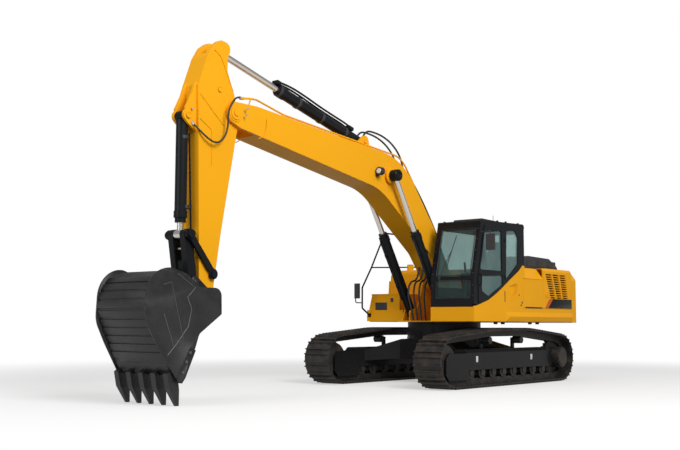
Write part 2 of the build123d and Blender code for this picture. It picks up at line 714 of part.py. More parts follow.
def grille_door():
    """The left rear door with its slatted intake, its lip wrapped over the hood's shoulder."""
    half = UPPER_HALF_WIDTH
    lip = half - SHOULDER_INSET + 5
    section = polygon(
        (half - SIDE_PANEL, SKIRT_TOP + PANEL_GAP), (half, SKIRT_TOP + PANEL_GAP), (half, HOOD_Z - 45),
        (half - 40, HOOD_Z + 12), (lip, HOOD_Z + 12), (lip, HOOD_Z + 5), (half - 60, HOOD_Z + 5),
        (half - SIDE_PANEL, HOOD_Z - 30),
    )
    door = slab_x(section, COUNTERWEIGHT_X + PANEL_GAP, DOOR_SPLIT_X - PANEL_GAP / 2)
    low, high = SHOULDER_Z - 379, HOOD_Z - 85
    pitch = (high - low) / SLAT_COUNT
    slots = Sketch()
    for slat in range(SLAT_COUNT):
        for column in range(GRILLE_COLUMNS):
            corners = []
            for z in (low + slat * pitch, low + (slat + 0.62) * pitch):
                share = (z - low) / (high - low)
                front = DOOR_SPLIT_X - 278 + share * 218
                rear = COUNTERWEIGHT_X + 144 + share * 111
                width = (front - rear) / GRILLE_COLUMNS
                corners.append((rear + column * width + 20, rear + (column + 1) * width - 20, z))
            (a, b, z0), (c, d, z1) = corners
            slots += polygon((a, z0), (b, z0), (d, z1), (c, z1))
    door -= slab_y(slots, half - SIDE_PANEL - 5, half + 5)
    return door + hinge_blocks(COUNTERWEIGHT_X + PANEL_GAP)


def pump_door():
    """The right rear door over the pump, hinged at its rear edge."""
    outline = rectangle(
        COUNTERWEIGHT_X + PANEL_GAP, DOOR_SPLIT_X - PANEL_GAP / 2, SKIRT_TOP - 34, SHOULDER_Z - PANEL_GAP
    )
    door = slab_y(outline, -UPPER_HALF_WIDTH, -UPPER_HALF_WIDTH + SIDE_PANEL)
    for slat in range(6):
        z = SHOULDER_Z - 380 + slat * 45
        door -= box(
            (COUNTERWEIGHT_X + 300, DOOR_SPLIT_X - 300),
            (-UPPER_HALF_WIDTH - 5, -UPPER_HALF_WIDTH + SIDE_PANEL + 5),
            (z, z + 22),
        )
    return door + [other_side(block) for block in hinge_blocks(COUNTERWEIGHT_X + PANEL_GAP)]


def engine_hood():
    """The lifting hood, cut back round the grille door's lip and beside the tanks."""
    half = UPPER_HALF_WIDTH
    rear, front = COUNTERWEIGHT_X + PANEL_GAP, FIREWALL_X + BULKHEAD
    crest = half - SHOULDER_INSET
    outer = polygon((-half, SHOULDER_Z), (half, SHOULDER_Z), (crest, HOOD_Z), (-crest, HOOD_Z))
    drop = HOOD_SHEET
    inner = polygon(
        (drop - half, SHOULDER_Z - 10), (half - drop, SHOULDER_Z - 10), (half - drop, SHOULDER_Z),
        (crest - drop / 2, HOOD_Z - drop), (drop / 2 - crest, HOOD_Z - drop), (drop - half, SHOULDER_Z),
    )
    hood = slab_x(outer - inner, rear, front)
    heights = (SHOULDER_Z - 20, HOOD_Z + 5)
    hood -= box((rear - 5, DOOR_SPLIT_X + PANEL_GAP / 2), (crest - 15, half + 5), heights)
    hood -= box((DOOR_SPLIT_X - PANEL_GAP / 2, front + 5), (-half - 5, HOOD_NOTCH_Y), heights)
    top = HOOD_Z - HOOD_SHEET
    blocks = both_sides(box((rear + 2, rear + 30), (500, 580), (top - PANEL_GAP + 0.3, top + 1)))
    pins = both_sides(bar((rear, 500, HOOD_Z), (rear, 580, HOOD_Z), PIN_LINE))
    return hood + blocks + pins


def hood_cover():
    """The raised engine cover on the hood, ribbed along its top."""
    low, high = 190.0, UPPER_HALF_WIDTH - SHOULDER_INSET - 40
    profile = rounded(
        (-2570, HOOD_Z, 0), (-1080, HOOD_Z, 0), (-1080, HOOD_Z + 185, 60),
        (-1250, HOOD_Z + 265, 60), (-2160, HOOD_Z + 245, 160), (-2500, HOOD_Z + 90, 120),
    )
    cover = slab_y(profile, low, high)
    pitch = (high - low) / (COVER_RIBS + 1)
    for i in range(COVER_RIBS):
        y = low + (i + 1) * pitch
        cover -= box((-2450, -1200), (y - 12, y + 12), (HOOD_Z + 230, HOOD_Z + 300))
    return cover


def engine():
    """The engine as one plain block on its bearers."""
    block = box((-2450, -1620), (-720, 480), (DECK_TOP + 230, HOOD_Z - 190))
    outside = SPINE_Y + SPINE_PLATE
    bearers = both_sides(box((-2300, -1750), (outside + 5, outside + 95), (DECK_TOP, DECK_TOP + 230)))
    return block + bearers


def radiator():
    """The cooler stack behind the left grille."""
    return box((-2600, -1620), (1000, 1200), (DECK_TOP, HOOD_Z - 120))


def tank_block(x_low, side_view, outer):
    """A tank between the spine and its outer face, with a rounded outer top edge."""
    section = rounded(
        (outer, DECK_TOP, 0), (TANK_INNER_Y, DECK_TOP, 0), (TANK_INNER_Y, TANK_TOP, 20),
        (outer, TANK_TOP, TANK_CORNER),
    )
    return slab_y(side_view, outer, TANK_INNER_Y) & slab_x(section, x_low, TOOL_BOX_X[0])


def fuel_tank():
    """The right tank behind the tool box, with a rounded front and a filler cap."""
    rear, front = FIREWALL_X + BULKHEAD + 10, TOOL_BOX_X[0] - 10
    outline = rounded(
        (rear, DECK_TOP, 0), (front, DECK_TOP, 0), (front, 1740, 20), (front - 45, TANK_TOP, 120),
        (rear, TANK_TOP, 0),
    )
    tank = tank_block(rear, outline, -UPPER_HALF_WIDTH + SIDE_PANEL + TANK_PANEL_GAP)
    cap = Pos(-430, -1150, TANK_TOP) * Cylinder(70, 130, align=(Align.CENTER, Align.CENTER, Align.MIN))
    return tank + cap


def hydraulic_tank():
    """The hydraulic tank between the fuel tank and the pump door."""
    rear = DOOR_SPLIT_X + 30
    outline = rectangle(rear, FIREWALL_X - 10, DECK_TOP, TANK_TOP)
    return tank_block(rear, outline, -UPPER_HALF_WIDTH + SKIRT_THICKNESS + 60)


def right_side_panel():
    """The fixed right panel beside the tanks."""
    low, high = -UPPER_HALF_WIDTH, -UPPER_HALF_WIDTH + SIDE_PANEL
    outline = polygon(
        (DOOR_SPLIT_X + PANEL_GAP / 2, SKIRT_TOP - 40), (-60, SKIRT_TOP - 40), (-60, 1740),
        (-90, SHOULDER_Z - PANEL_GAP), (DOOR_SPLIT_X + PANEL_GAP / 2, SHOULDER_Z - PANEL_GAP),
    )
    return slab_y(outline, low, high)




def tool_box():
    """The open-topped box in front of the tank, its outer wall leaning inwards."""
    wall = TOOL_BOX_WALL
    foot, top = SKIRT_TOP - 40, TOOL_BOX_TOP
    (outer, inner), (rear, front) = TOOL_BOX_Y, TOOL_BOX_X
    lean = outer + TOOL_BOX_LEAN
    shell = slab_x(polygon((outer, foot), (inner, foot), (inner, top), (lean, top)), rear, front)
    room = polygon((outer + wall + 4, foot + wall), (inner - wall, foot + wall), (inner - wall, top), (lean + wall, top))
    base = box(
        (rear, RIGHT_FRONT_X - SKIRT_THICKNESS), (-UPPER_HALF_WIDTH + SKIRT_THICKNESS, inner), (DECK_TOP, foot)
    )
    return shell - slab_x(room, rear + wall, front - wall) + base


def tool_box_lid():
    """The lid of the tool box, hinged along its rear edge."""
    outer, inner = TOOL_BOX_Y[0] + TOOL_BOX_LEAN - 8, TOOL_BOX_Y[1] + 8
    rear, top = TOOL_BOX_X[0] + 2, TOOL_BOX_TOP + LID_THICKNESS
    lid = box((rear, TOOL_BOX_X[1] + 8), (outer, inner), (TOOL_BOX_TOP + 0.3, top))
    for y in (outer + 100, inner - 180):
        lid += bar((rear, y, top + 0.3), (rear, y + 80, top + 0.3), PIN_LINE)
    return lid


RAIL_RADIUS = 17.0
RAIL_Y = 70.0 - UPPER_HALF_WIDTH


def right_handrail():
    """The rail from the right front up over the tanks to the hydraulic tank, with its middle rail."""
    y = RAIL_Y
    foot_y = y + 210
    rail = tube(
        [(RIGHT_FRONT_X + 10, y, 1350), (931, y, 1490), (931, y, 1913), (623, y, 2340), (240, y, 2961),
         (150, y, 3100), (-870, y, 3100), (-965, y, 2990), (-965, y, 2420), (-965, foot_y, TANK_TOP + 18)],
        45,
        RAIL_RADIUS,
    )
    rail += bar((619, y, 2345), (-965, y, 2345 + RAIL_RADIUS * 4.5), RAIL_RADIUS - 3)
    rail += box((RIGHT_FRONT_X, RIGHT_FRONT_X + 14), (y - 35, y + 35), (1315, 1385))
    rail += box((-1005, -925), (foot_y - 35, foot_y + 35), (TANK_TOP, TANK_TOP + 14))
    return rail


def right_mirror():
    """The right mirror on its arm from the handrail."""
    y = RAIL_Y
    arm = tube([(931 + RAIL_RADIUS, y, 1600), (1150, y, 1600), (1150, y, 1700)], 40, 11)
    return arm + box((1125, 1175), (y - 15, y + 95), (1685, 1992))


def left_mirror():
    """The left mirror on its arm from the cab's front post."""
    arm = tube([(960, UPPER_HALF_WIDTH + 1.9, 2905), (1000, 1715, 2920), (1000, 1722, 2810)], 25, 11)
    return arm + box((980, 1025), (1632, 1812), (2555, 2860))


# ---------------------------------------------------------------- cab
def cab_floor():
    """The cab's floor plate on its four rubber mounts."""
    plate = box(
        (CAB_REAR_X, CAB_FRONT_FOOT_X), (CAB_RIGHT_Y, UPPER_HALF_WIDTH - CAB_WALL),
        (CAB_FLOOR_Z, CAB_FLOOR_Z + CAB_FLOOR_PLATE),
    )
    for x in (CAB_REAR_X + 200, CAB_FRONT_FOOT_X - 220):
        for y in (CAB_RIGHT_Y + 160, UPPER_HALF_WIDTH - 240):
            plate += Pos(x, y, DECK_TOP) * Cylinder(
                60, CAB_FLOOR_Z - DECK_TOP, align=(Align.CENTER, Align.CENTER, Align.MIN)
            )
    return plate


def cab_front_x(z):
    """Where the front of the cab stands at a height: upright below the windscreen, raked above."""
    share = max(0.0, (z - CAB_FRONT_BEND_Z) / (CAB_ROOF_Z - CAB_FRONT_BEND_Z))
    return CAB_FRONT_FOOT_X + share * (CAB_FRONT_HEAD_X - CAB_FRONT_FOOT_X)


def front_line(setback, low, high):
    """Points from low to high along the cab's front, a setback behind its face."""
    return [(cab_front_x(z) - setback, z) for z in (low, CAB_FRONT_BEND_Z, high)]


WINDSCREEN_Y = (600.0, 1400.0)
WINDSCREEN_Z = (2065.0, 3010.0)
LOWER_SCREEN_Z = (1640.0, 2005.0)


def screen_opening(y, z, margin):
    """A rounded block through the front wall, grown by a margin."""
    outline = rounded(
        (y[0] - margin, z[0] - margin, 50), (y[1] + margin, z[0] - margin, 50),
        (y[1] + margin, z[1] + margin, 50), (y[0] - margin, z[1] + margin, 50),
    )
    return slab_x(outline, CAB_FRONT_HEAD_X - 300, CAB_FRONT_FOOT_X + 100)


def raked_slab(offset, thickness):
    """A slab along the raked front, starting at an offset behind its outer face."""
    low, high = CAB_FLOOR_Z + CAB_FLOOR_PLATE, CAB_ROOF_Z
    back = front_line(offset + thickness, low, high)
    outline = polygon(*front_line(offset, low, high), *reversed(back))
    return slab_y(outline, CAB_RIGHT_Y, UPPER_HALF_WIDTH)


def cab_front_frame():
    """The front posts, sill, crossbar and header round the two front windows."""
    wall = raked_slab(0, CAB_FRONT_WALL)
    for z in (WINDSCREEN_Z, LOWER_SCREEN_Z):
        wall -= screen_opening(WINDSCREEN_Y, z, 0)
    return wall


DOOR_UPPER_GLASS = (
    (190.0, 2200.0, 40),
    (985.0, 2200.0, 40),
    (812.0, 2926.0, 80),
    (190.0, 2990.0, 60),
)
DOOR_LOWER_GLASS = (
    (167.0, 2122.0, 30),
    (174.0, 1927.0, 20),
    (680.0, 1696.0, 30),
    (928.0, 1792.0, 30),
    (955.0, 2082.0, 30),
)
QUARTER_GLASS = (
    (-20.0, 3008.0, 50),
    (-358.0, 3032.0, 90),
    (-487.0, 2888.0, 60),
    (-449.0, 2364.0, 60),
    (18.0, 2029.0, 30),
)


def door_outline(margin):
    """The door's shape inside the left wall, drawn in by a margin."""
    setback = DOOR_FRONT_SETBACK + margin
    low = sweep_height(CAB_FRONT_FOOT_X - setback) + DOOR_SILL + margin
    front = front_line(setback, low, DOOR_HEAD_Z - margin)
    corners = [(x, z + DOOR_SILL + margin) for x, z in cab_sweep() if DOOR_REAR_X < x < front[0][0]]
    rear = DOOR_REAR_X + margin
    return rounded(
        (rear, DOOR_HEAD_Z - margin, 55), (rear, sweep_height(rear) + DOOR_SILL + margin, 0),
        *((x, z, 0) for x, z in reversed(corners)), (*front[0], 36), (*front[1], 300), (*front[2], 55),
    )


def cab_left_frame():
    """The left wall behind and round the door, with the rear quarter window cut out."""
    low, high = UPPER_HALF_WIDTH - CAB_WALL, UPPER_HALF_WIDTH
    front = front_line(CAB_FRONT_WALL, CAB_FLOOR_Z + CAB_FLOOR_PLATE, CAB_ROOF_Z)
    foot = (front[0][0], sweep_height(front[0][0]) + PANEL_GAP)
    edge = [(x, z + PANEL_GAP) for x, z in cab_sweep() if x < foot[0]]
    wall = polygon(
        (CAB_REAR_X, CAB_ROOF_Z), (CAB_REAR_X, edge[-1][1] + 60), *reversed(edge), foot, *front[1:]
    )
    return slab_y(wall - door_outline(0) - rounded(*QUARTER_GLASS), low, high)


def cab_right_wall():
    """The right wall with its one large window."""
    low = CAB_FLOOR_Z + CAB_FLOOR_PLATE
    wall = polygon((CAB_REAR_X, low), *front_line(CAB_FRONT_WALL, low, CAB_ROOF_Z), (CAB_REAR_X, CAB_ROOF_Z))
    return slab_y(wall - rounded(*RIGHT_GLASS), CAB_RIGHT_Y, CAB_RIGHT_Y + 40)


RIGHT_GLASS = ((-560.0, 1880.0, 60), (1040.0, 1880.0, 60), (845.0, 2990.0, 60), (-560.0, 2990.0, 60))
REAR_GLASS_Y = (600.0, 1330.0)
REAR_GLASS_Z = (2410.0, 2990.0)


def cab_rear_wall():
    """The rear wall between the side walls, with its window."""
    wall = box(
        (CAB_REAR_X, CAB_REAR_X + 40), (CAB_RIGHT_Y + 40, UPPER_HALF_WIDTH - CAB_WALL),
        (CAB_FLOOR_Z + CAB_FLOOR_PLATE, CAB_ROOF_Z),
    )
    return wall - box((CAB_REAR_X - 5, CAB_REAR_X + 45), REAR_GLASS_Y, REAR_GLASS_Z)


def cab_roof():
    """The roof shell with rounded front and rear edges and its hatch opening."""
    top = rounded(
        (CAB_REAR_X - 15, CAB_ROOF_Z, 0), (CAB_FRONT_HEAD_X + 5, CAB_ROOF_Z, 0),
        (CAB_FRONT_HEAD_X - 5, CAB_BROW_Z, 40), (CAB_REAR_X - 5, CAB_HEIGHT_Z, 60),
    )
    roof = slab_y(top, CAB_RIGHT_Y, UPPER_HALF_WIDTH)
    return roof - box((-250, 330), (CAB_RIGHT_Y + 180, UPPER_HALF_WIDTH - 180), (CAB_ROOF_Z - 5, CAB_HEIGHT_Z + 5))


def cab_glass():
    """The fixed panes, each set in its opening: two front, quarter, right, rear and roof hatch."""
    panes = []
    for z in (WINDSCREEN_Z, LOWER_SCREEN_Z):
        panes.append(raked_slab(20, GLASS) & screen_opening(WINDSCREEN_Y, z, 0))
    side = UPPER_HALF_WIDTH - 25
    panes.append(slab_y(rounded(*QUARTER_GLASS), side, side + GLASS))
    panes.append(slab_y(rounded(*RIGHT_GLASS), CAB_RIGHT_Y + 15, CAB_RIGHT_Y + 15 + GLASS))
    panes.append(box((CAB_REAR_X + 15, CAB_REAR_X + 15 + GLASS), REAR_GLASS_Y, REAR_GLASS_Z))
    hatch_y = (CAB_RIGHT_Y + 180, UPPER_HALF_WIDTH - 180)
    panes.append(box((-250, 330), hatch_y, (CAB_ROOF_Z + 30, CAB_ROOF_Z + 30 + GLASS)))
    return Compound(children=[pane.solids()[0] for pane in panes])


def cab_door():
    """The cab door with its upper and lower windows cut out, and a pull handle."""
    low, high = UPPER_HALF_WIDTH - CAB_WALL + 8, UPPER_HALF_WIDTH + 12
    leaf = door_outline(DOOR_GAP) - rounded(*DOOR_UPPER_GLASS) - rounded(*DOOR_LOWER_GLASS)
    door = slab_y(leaf, low, high)
    handle = tube(
        [(1010, high, 2100), (1010, high + 45, 2100), (1016, high + 45, 1900), (1016, high, 1900)], 15, 9
    )
    for z in DOOR_HINGE_Z:
        door += Pos(DOOR_REAR_X - 3, UPPER_HALF_WIDTH + 12.3, z) * Cylinder(12, 90)
    return door + handle


def door_glass():
    """The door's two panes."""
    middle = UPPER_HALF_WIDTH - 15
    return Compound(children=[
        slab_y(rounded(*DOOR_UPPER_GLASS), middle, middle + GLASS).solids()[0],
        slab_y(rounded(*DOOR_LOWER_GLASS), middle, middle + GLASS).solids()[0],
    ])


def operator_seat():
    """The seat on its pedestal: cushion, backrest and headrest."""
    floor = CAB_FLOOR_Z + CAB_FLOOR_PLATE
    middle = 960.0
    pedestal = box((-330, 130), (middle - 190, middle + 190), (floor, floor + 300))
    cushion = slab_y(
        rounded((-380, floor + 300, 0), (170, floor + 300, 40), (180, floor + 430, 60), (-380, floor + 400, 0)),
        middle - 250, middle + 250,
    )
    back = slab_y(
        rounded((-380, floor + 380, 0), (-250, floor + 380, 0), (-350, floor + 1080, 60), (-480, floor + 1060, 50)),
        middle - 240, middle + 240,
    )
    head = slab_y(
        rounded((-455, floor + 1030, 0), (-365, floor + 1030, 0), (-385, floor + 1290, 40), (-480, floor + 1275, 40)),
        middle - 140, middle + 140,
    )
    return pedestal + cushion + back + head


def consoles():
    """The two arm consoles beside the seat, each with its lever, and the travel pedals in front."""
    floor = CAB_FLOOR_Z + CAB_FLOOR_PLATE
    pieces = []
    for y in (630.0, 1290.0):
        console = slab_y(
            rounded((-330, floor, 0), (60, floor, 0), (250, floor + 560, 40), (230, floor + 660, 40),
                    (-330, floor + 600, 30)),
            y - 65, y + 65,
        )
        lever = bar((150, y, floor + 560), (195, y, floor + 860), 22)
        pieces.append((console + lever).solids()[0])
    for y in (900.0, 1020.0):
        pedal = box((560, 760), (y - 45, y + 45), (floor, floor + 30))
        pieces.append((pedal + bar((650, y, floor + 20), (560, y, floor + 520), 13)).solids()[0])
    return Compound(children=pieces)


# ---------------------------------------------------------------- boom
def boom_point(along, across):
    """A point in X and Z given along and across the boom's chord."""
    return placed(BOOM_FOOT, BOOM_ANGLE, along, across)


def arm_point(along, across):
    """A point in X and Z given along and across the line from arm pivot to bucket pin."""
    return placed(ARM_PIVOT, ARM_ANGLE, along, across)


def bucket_point(x, z):
    """A point in X and Z given from the bucket pin."""
    return (BUCKET_PIN[0] + x, BUCKET_PIN[1] + z)


# The boom's back, from its foot to its tip: along the chord, across it, corner radius.
BOOM_BACK = ((940.0, 822.0, 600.0), (2372.0, 1557.0, 1450.0), (BOOM_LENGTH - 374, 350.0, 300.0))


def boom_back(along):
    """How far the straight part of the boom's back stands over its chord at a place."""
    (start, high, _), (end, low, _) = BOOM_BACK[1:]
    return high + (low - high) * (along - start) / (end - start)


ARM_PIVOT = boom_point(BOOM_LENGTH, 0)
BUCKET_PIN = arm_point(ARM_LENGTH, 0)
BOOM_ROD_PIN = boom_point(BOOM_ROD_ALONG, BOOM_ROD_ACROSS)
ARM_CYLINDER_FOOT = boom_point(ARM_CYLINDER_ALONG, boom_back(ARM_CYLINDER_ALONG) + ARM_CYLINDER_LIFT)
ARM_ROD_PIN = arm_point(ARM_ROD_ALONG, ARM_ROD_ACROSS)
BUCKET_CYLINDER_FOOT = arm_point(BUCKET_CYLINDER_ALONG, BUCKET_CYLINDER_ACROSS)
GUIDE_PIN = arm_point(ARM_LENGTH - GUIDE_SETBACK, GUIDE_ACROSS)
LINK_PIN = bucket_point(LINK_PIN_X, LINK_PIN_Z)
BUCKET_LINK_PIN = bucket_point(BUCKET_LINK_X, BUCKET_LINK_Z)


def boom():
    """The boom: a box beam bent near its foot, forked at its tip."""
    length = BOOM_LENGTH
    rows = (
        (-95, -110, 100), (90, -125, 60), (880, 277, 400), (2764, 689, 1300),
        (length - 180, -170, 100), (length + 130, -170, 140), (length + 165, 120, 140),
        *reversed(BOOM_BACK), (-110, 110, 110),
    )
    outline = rounded(*((*boom_point(a, b), r) for a, b, r in rows))
    beam = slab_y(outline, -BOOM_HALF, BOOM_HALF)
    fork_half = ARM_HALF + FORK_GAP
    fork = [boom_point(a, b) for a, b in (
        (length - BOOM_FORK_DEPTH, -700), (length + 400, -700), (length + 400, 900),
        (length - BOOM_FORK_DEPTH, 900),
    )]
    beam -= slab_y(polygon(*fork), -fork_half, fork_half)
    foot_bore = 62 + PIN_RUNNING_GAP
    beam += drum(*BOOM_FOOT, 130, -SPINE_Y + 5, SPINE_Y - 5)
    beam -= drum(*BOOM_FOOT, foot_bore, -SPINE_Y, SPINE_Y)
    beam += both_sides(drum(*BOOM_ROD_PIN, 120, BOOM_HALF - 2, BOOM_HALF + 38))
    beam += both_sides(drum(*ARM_PIVOT, 145, BOOM_HALF - 2, BOOM_HALF + 12))
    beam += both_sides(drum(*ARM_PIVOT, 115, BOOM_HALF - 2, BOOM_HALF + 25))
    beam += drum(*ARM_PIVOT, 60, -BOOM_HALF - 40, BOOM_HALF + 40)
    rear, front = ARM_CYLINDER_ALONG - 230, ARM_CYLINDER_ALONG + 260
    ear = belt(
        (*boom_point(rear, boom_back(rear) - 100), 20),
        (*boom_point(front, boom_back(front) - 100), 20),
        (*ARM_CYLINDER_FOOT, 105),
    )
    beam += both_sides(slab_y(ear, 126, 164))
    beam += drum(*ARM_CYLINDER_FOOT, 45, -184, 184)
    return beam


def boom_pipes():
    """The two pipes along the boom's back, which rise off it towards couplers near the tip."""
    (start, start_across, _), (bend, bend_across, radius), _ = BOOM_BACK
    slope_in = atan2(bend_across - start_across, bend - start)
    slope_out = atan2(boom_back(bend + 1) - boom_back(bend), 1)
    half_turn = (slope_in - slope_out) / 2
    lean = (slope_in + slope_out) / 2 + pi / 2
    shift = PIPE_LIFT / cos(half_turn)
    corner = (bend + shift * cos(lean), bend_across + shift * sin(lean))
    first = (corner[0] - PIPE_RUN_IN * cos(slope_in), corner[1] - PIPE_RUN_IN * sin(slope_in))
    tip = [(BOOM_LENGTH - back, across) for back, across in PIPE_TIP]
    pieces = []
    for y in (-PIPE_Y, PIPE_Y):
        route = [(x, y, z) for x, z in (boom_point(*point) for point in (first, corner, *tip))]
        pipe = tube(route, [radius * 0.42, 900, 150, 150], PIPE_RADIUS)
        pipe += bar(route[-1], Vector(*route[-1]) + 0.3 * (Vector(*route[-2]) - Vector(*route[-1])), 25)
        for along in PIPE_CLAMPS:
            across = boom_back(along)
            foot = boom_point(along, across)
            top = boom_point(along - PIPE_LIFT * sin(slope_out), across + PIPE_LIFT * cos(slope_out))
            pipe += bar((foot[0], y, foot[1]), (top[0], y, top[1]), PIPE_RADIUS + 4)
        bracket = boom_point(tip[2][0], tip[2][1] - PIPE_BRACKET)
        pipe += bar((bracket[0], y, bracket[1]), route[4], 12)
        pieces.append(pipe.solids()[0])
    return Compound(children=pieces)


def boom_lamp():
    """The work lamp on the boom's left side, on its bracket."""
    x, z = boom_point(LAMP_ALONG, LAMP_ACROSS)
    shell = slab_x(Pos(BOOM_HALF + 95, z) * Circle(75), x - 45, x + 45)
    bracket = box((x - 20, x + 20), (BOOM_HALF, BOOM_HALF + 60), (z - 90, z - 40))
    return shell + bracket


# ---------------------------------------------------------------- cylinders
def cylinder_barrel(foot, pin, y, radius, length, foot_width, bore):
    """A hydraulic barrel: foot eye, tube with its bore, thicker gland and narrow end collar."""
    x0, z0 = foot
    run = hypot(pin[0] - x0, pin[1] - z0)
    ux, uz = (pin[0] - x0) / run, (pin[1] - z0) / run
    start = (x0 + ux * radius * 0.7, y, z0 + uz * radius * 0.7)
    end = (x0 + ux * length, y, z0 + uz * length)
    gland = (x0 + ux * (length - radius * 1.9), y, z0 + uz * (length - radius * 1.9))
    collar = (x0 + ux * (length - radius * 0.8), y, z0 + uz * (length - radius * 0.8))
    seat = (x0 + ux * radius * 1.6, y, z0 + uz * radius * 1.6)
    barrel = bar(start, gland, radius) + bar(gland, collar, radius * 1.12) + bar(collar, end, radius * 0.92)
    barrel += drum(x0, z0, radius * 0.86, y - foot_width / 2, y + foot_width / 2)
    barrel -= bar(seat, (x0 + ux * (length + 5), y, z0 + uz * (length + 5)), bore)
    return barrel


def cylinder_rod(foot, pin, y, radius, length, eye, eye_width):
    """A chromed rod that ends in an eye."""
    run = hypot(pin[0] - foot[0], pin[1] - foot[1])
    ux, uz = (foot[0] - pin[0]) / run, (foot[1] - pin[1]) / run
    inner = (pin[0] + ux * length, y, pin[1] + uz * length)
    rod = bar((pin[0] + ux * eye * 0.7, y, pin[1] + uz * eye * 0.7), inner, radius)
    return rod + drum(*pin, eye, y - eye_width / 2, y + eye_width / 2)




def boom_barrels():
    """The two boom barrels, one each side of the boom's foot."""
    left = cylinder_barrel(
        BOOM_CYLINDER_FOOT, BOOM_ROD_PIN, BOOM_CYLINDER_Y, BOOM_BARREL, BOOM_BARREL_LENGTH,
        2 * 70, BOOM_ROD + BORE_GAP,
    )
    left -= drum(*BOOM_CYLINDER_FOOT, 48 + PIN_RUNNING_GAP, BOOM_CYLINDER_Y - 80, BOOM_CYLINDER_Y + 80)
    return both_sides(left)


def boom_rods():
    """The two boom rods with their eyes."""
    low = BOOM_HALF + 38 + PIN_RUNNING_GAP
    width = 2 * (BOOM_CYLINDER_Y - low)
    left = cylinder_rod(
        BOOM_CYLINDER_FOOT, BOOM_ROD_PIN, BOOM_CYLINDER_Y, BOOM_ROD, BOOM_ROD_LENGTH, 100, width
    )
    return both_sides(left)


def arm_barrel():
    """The arm cylinder's barrel on the boom's back."""
    barrel = cylinder_barrel(
        ARM_CYLINDER_FOOT, ARM_ROD_PIN, 0, ARM_BARREL, ARM_BARREL_LENGTH, 2 * 118, ARM_ROD + BORE_GAP
    )
    return barrel - drum(*ARM_CYLINDER_FOOT, 45 + PIN_RUNNING_GAP, -120, 120)


def arm_rod():
    """The arm cylinder's rod with its eye."""
    return cylinder_rod(ARM_CYLINDER_FOOT, ARM_ROD_PIN, 0, ARM_ROD, ARM_ROD_LENGTH, 95, 2 * 75)


def bucket_cylinder_length():
    """The distance between the bucket cylinder's two pins."""
    return hypot(LINK_PIN[0] - BUCKET_CYLINDER_FOOT[0], LINK_PIN[1] - BUCKET_CYLINDER_FOOT[1])


def bucket_barrel():
    """The bucket cylinder's barrel in front of the arm."""
    barrel = cylinder_barrel(
        BUCKET_CYLINDER_FOOT, LINK_PIN, 0, BUCKET_BARREL, bucket_cylinder_length() - BUCKET_ROD_SHOWN,
        2 * 85, BUCKET_ROD + BORE_GAP,
    )
    return barrel - drum(*BUCKET_CYLINDER_FOOT, 40 + PIN_RUNNING_GAP, -100, 100)


def bucket_rod():
    """The bucket cylinder's rod with its eye."""
    length = bucket_cylinder_length() - BUCKET_ROD_END
    return cylinder_rod(BUCKET_CYLINDER_FOOT, LINK_PIN, 0, BUCKET_ROD, length, 75, 2 * 70)


# ---------------------------------------------------------------- arm
def arm():
    """The arm: a tapering box with a lever at its top, and ears for the bucket cylinder."""
    length = ARM_LENGTH
    lever, lever_side = ARM_ROD_ALONG - 115, ARM_ROD_ACROSS
    rows = (
        (lever, lever_side + 108, 105), (-935, 592, 80), (-719, 682, 200), (-215, 785, 60), (461, 660, 400),
        (length - 225, 232, 120), (length + 115, 112, 108), (length + 115, -112, 108), (length - 70, -112, 80),
        (length - 240, -68, 150), (1937, -77, 600), (719, -121, 400), (143, -142, 150), (-288, 12, 250),
        (-622, 228, 150), (-845, 264, 60), (-925, lever_side - 118, 60), (lever, lever_side - 118, 105),
    )
    outline = rounded(*((*arm_point(a, b), r) for a, b, r in rows))
    beam = slab_y(outline, -ARM_HALF, ARM_HALF)
    # The rod's eye works in a slot between the lever's two plates.
    slot = polygon(arm_point(-1500, 900), arm_point(-1500, -300), arm_point(-700, -300), arm_point(-820, 900))
    beam -= slab_y(slot, -90, 90)
    beam -= drum(*ARM_PIVOT, 60 + PIN_RUNNING_GAP, -ARM_HALF, ARM_HALF)
    gusset = [(-255, 700), (-250, 812), (-34, 850), (199, 927), (400, 880), (431, 827), (502, 653), (600, 570)]
    ear = polygon(*(arm_point(a, b) for a, b in gusset)) + Pos(*BUCKET_CYLINDER_FOOT) * Circle(95)
    beam += both_sides(slab_y(ear, 98, 138))
    beam += drum(*BUCKET_CYLINDER_FOOT, 40, -150, 150)
    beam += both_sides(drum(*GUIDE_PIN, 85, ARM_HALF, ARM_HALF + 12))
    beam += drum(*GUIDE_PIN, 38, -GUIDE_PIN_REACH, GUIDE_PIN_REACH)
    beam -= drum(*BUCKET_PIN, 45 + PIN_RUNNING_GAP, -ARM_HALF, ARM_HALF)
    return beam


# ---------------------------------------------------------------- bucket linkage
def guide_links():
    """The two waisted guide links outside the arm, capped over its pin and bossed at the link pin."""
    across = Vector(*LINK_PIN) - Vector(*GUIDE_PIN)
    side = across.rotate(Axis.Z, 90).normalized() * GUIDE_WAIST
    corners = [Vector(*GUIDE_PIN) + side, Vector(*LINK_PIN) + side, Vector(*LINK_PIN) - side, Vector(*GUIDE_PIN) - side]
    outline = polygon(*((corner.X, corner.Y) for corner in corners))
    outline += Pos(*GUIDE_PIN) * Circle(80) + Pos(*LINK_PIN) * Circle(80)
    plate = slab_y(outline, GUIDE_LOW, GUIDE_LOW + GUIDE_WIDTH)
    plate += drum(*LINK_PIN, 62, GUIDE_LOW, GUIDE_LOW + GUIDE_WIDTH + 40)
    plate += drum(*GUIDE_PIN, 58, GUIDE_LOW, GUIDE_LOW + GUIDE_WIDTH + 20)
    plate -= drum(*GUIDE_PIN, 38 + PIN_RUNNING_GAP, GUIDE_LOW - 5, GUIDE_PIN_REACH + 1)
    return both_sides(plate)


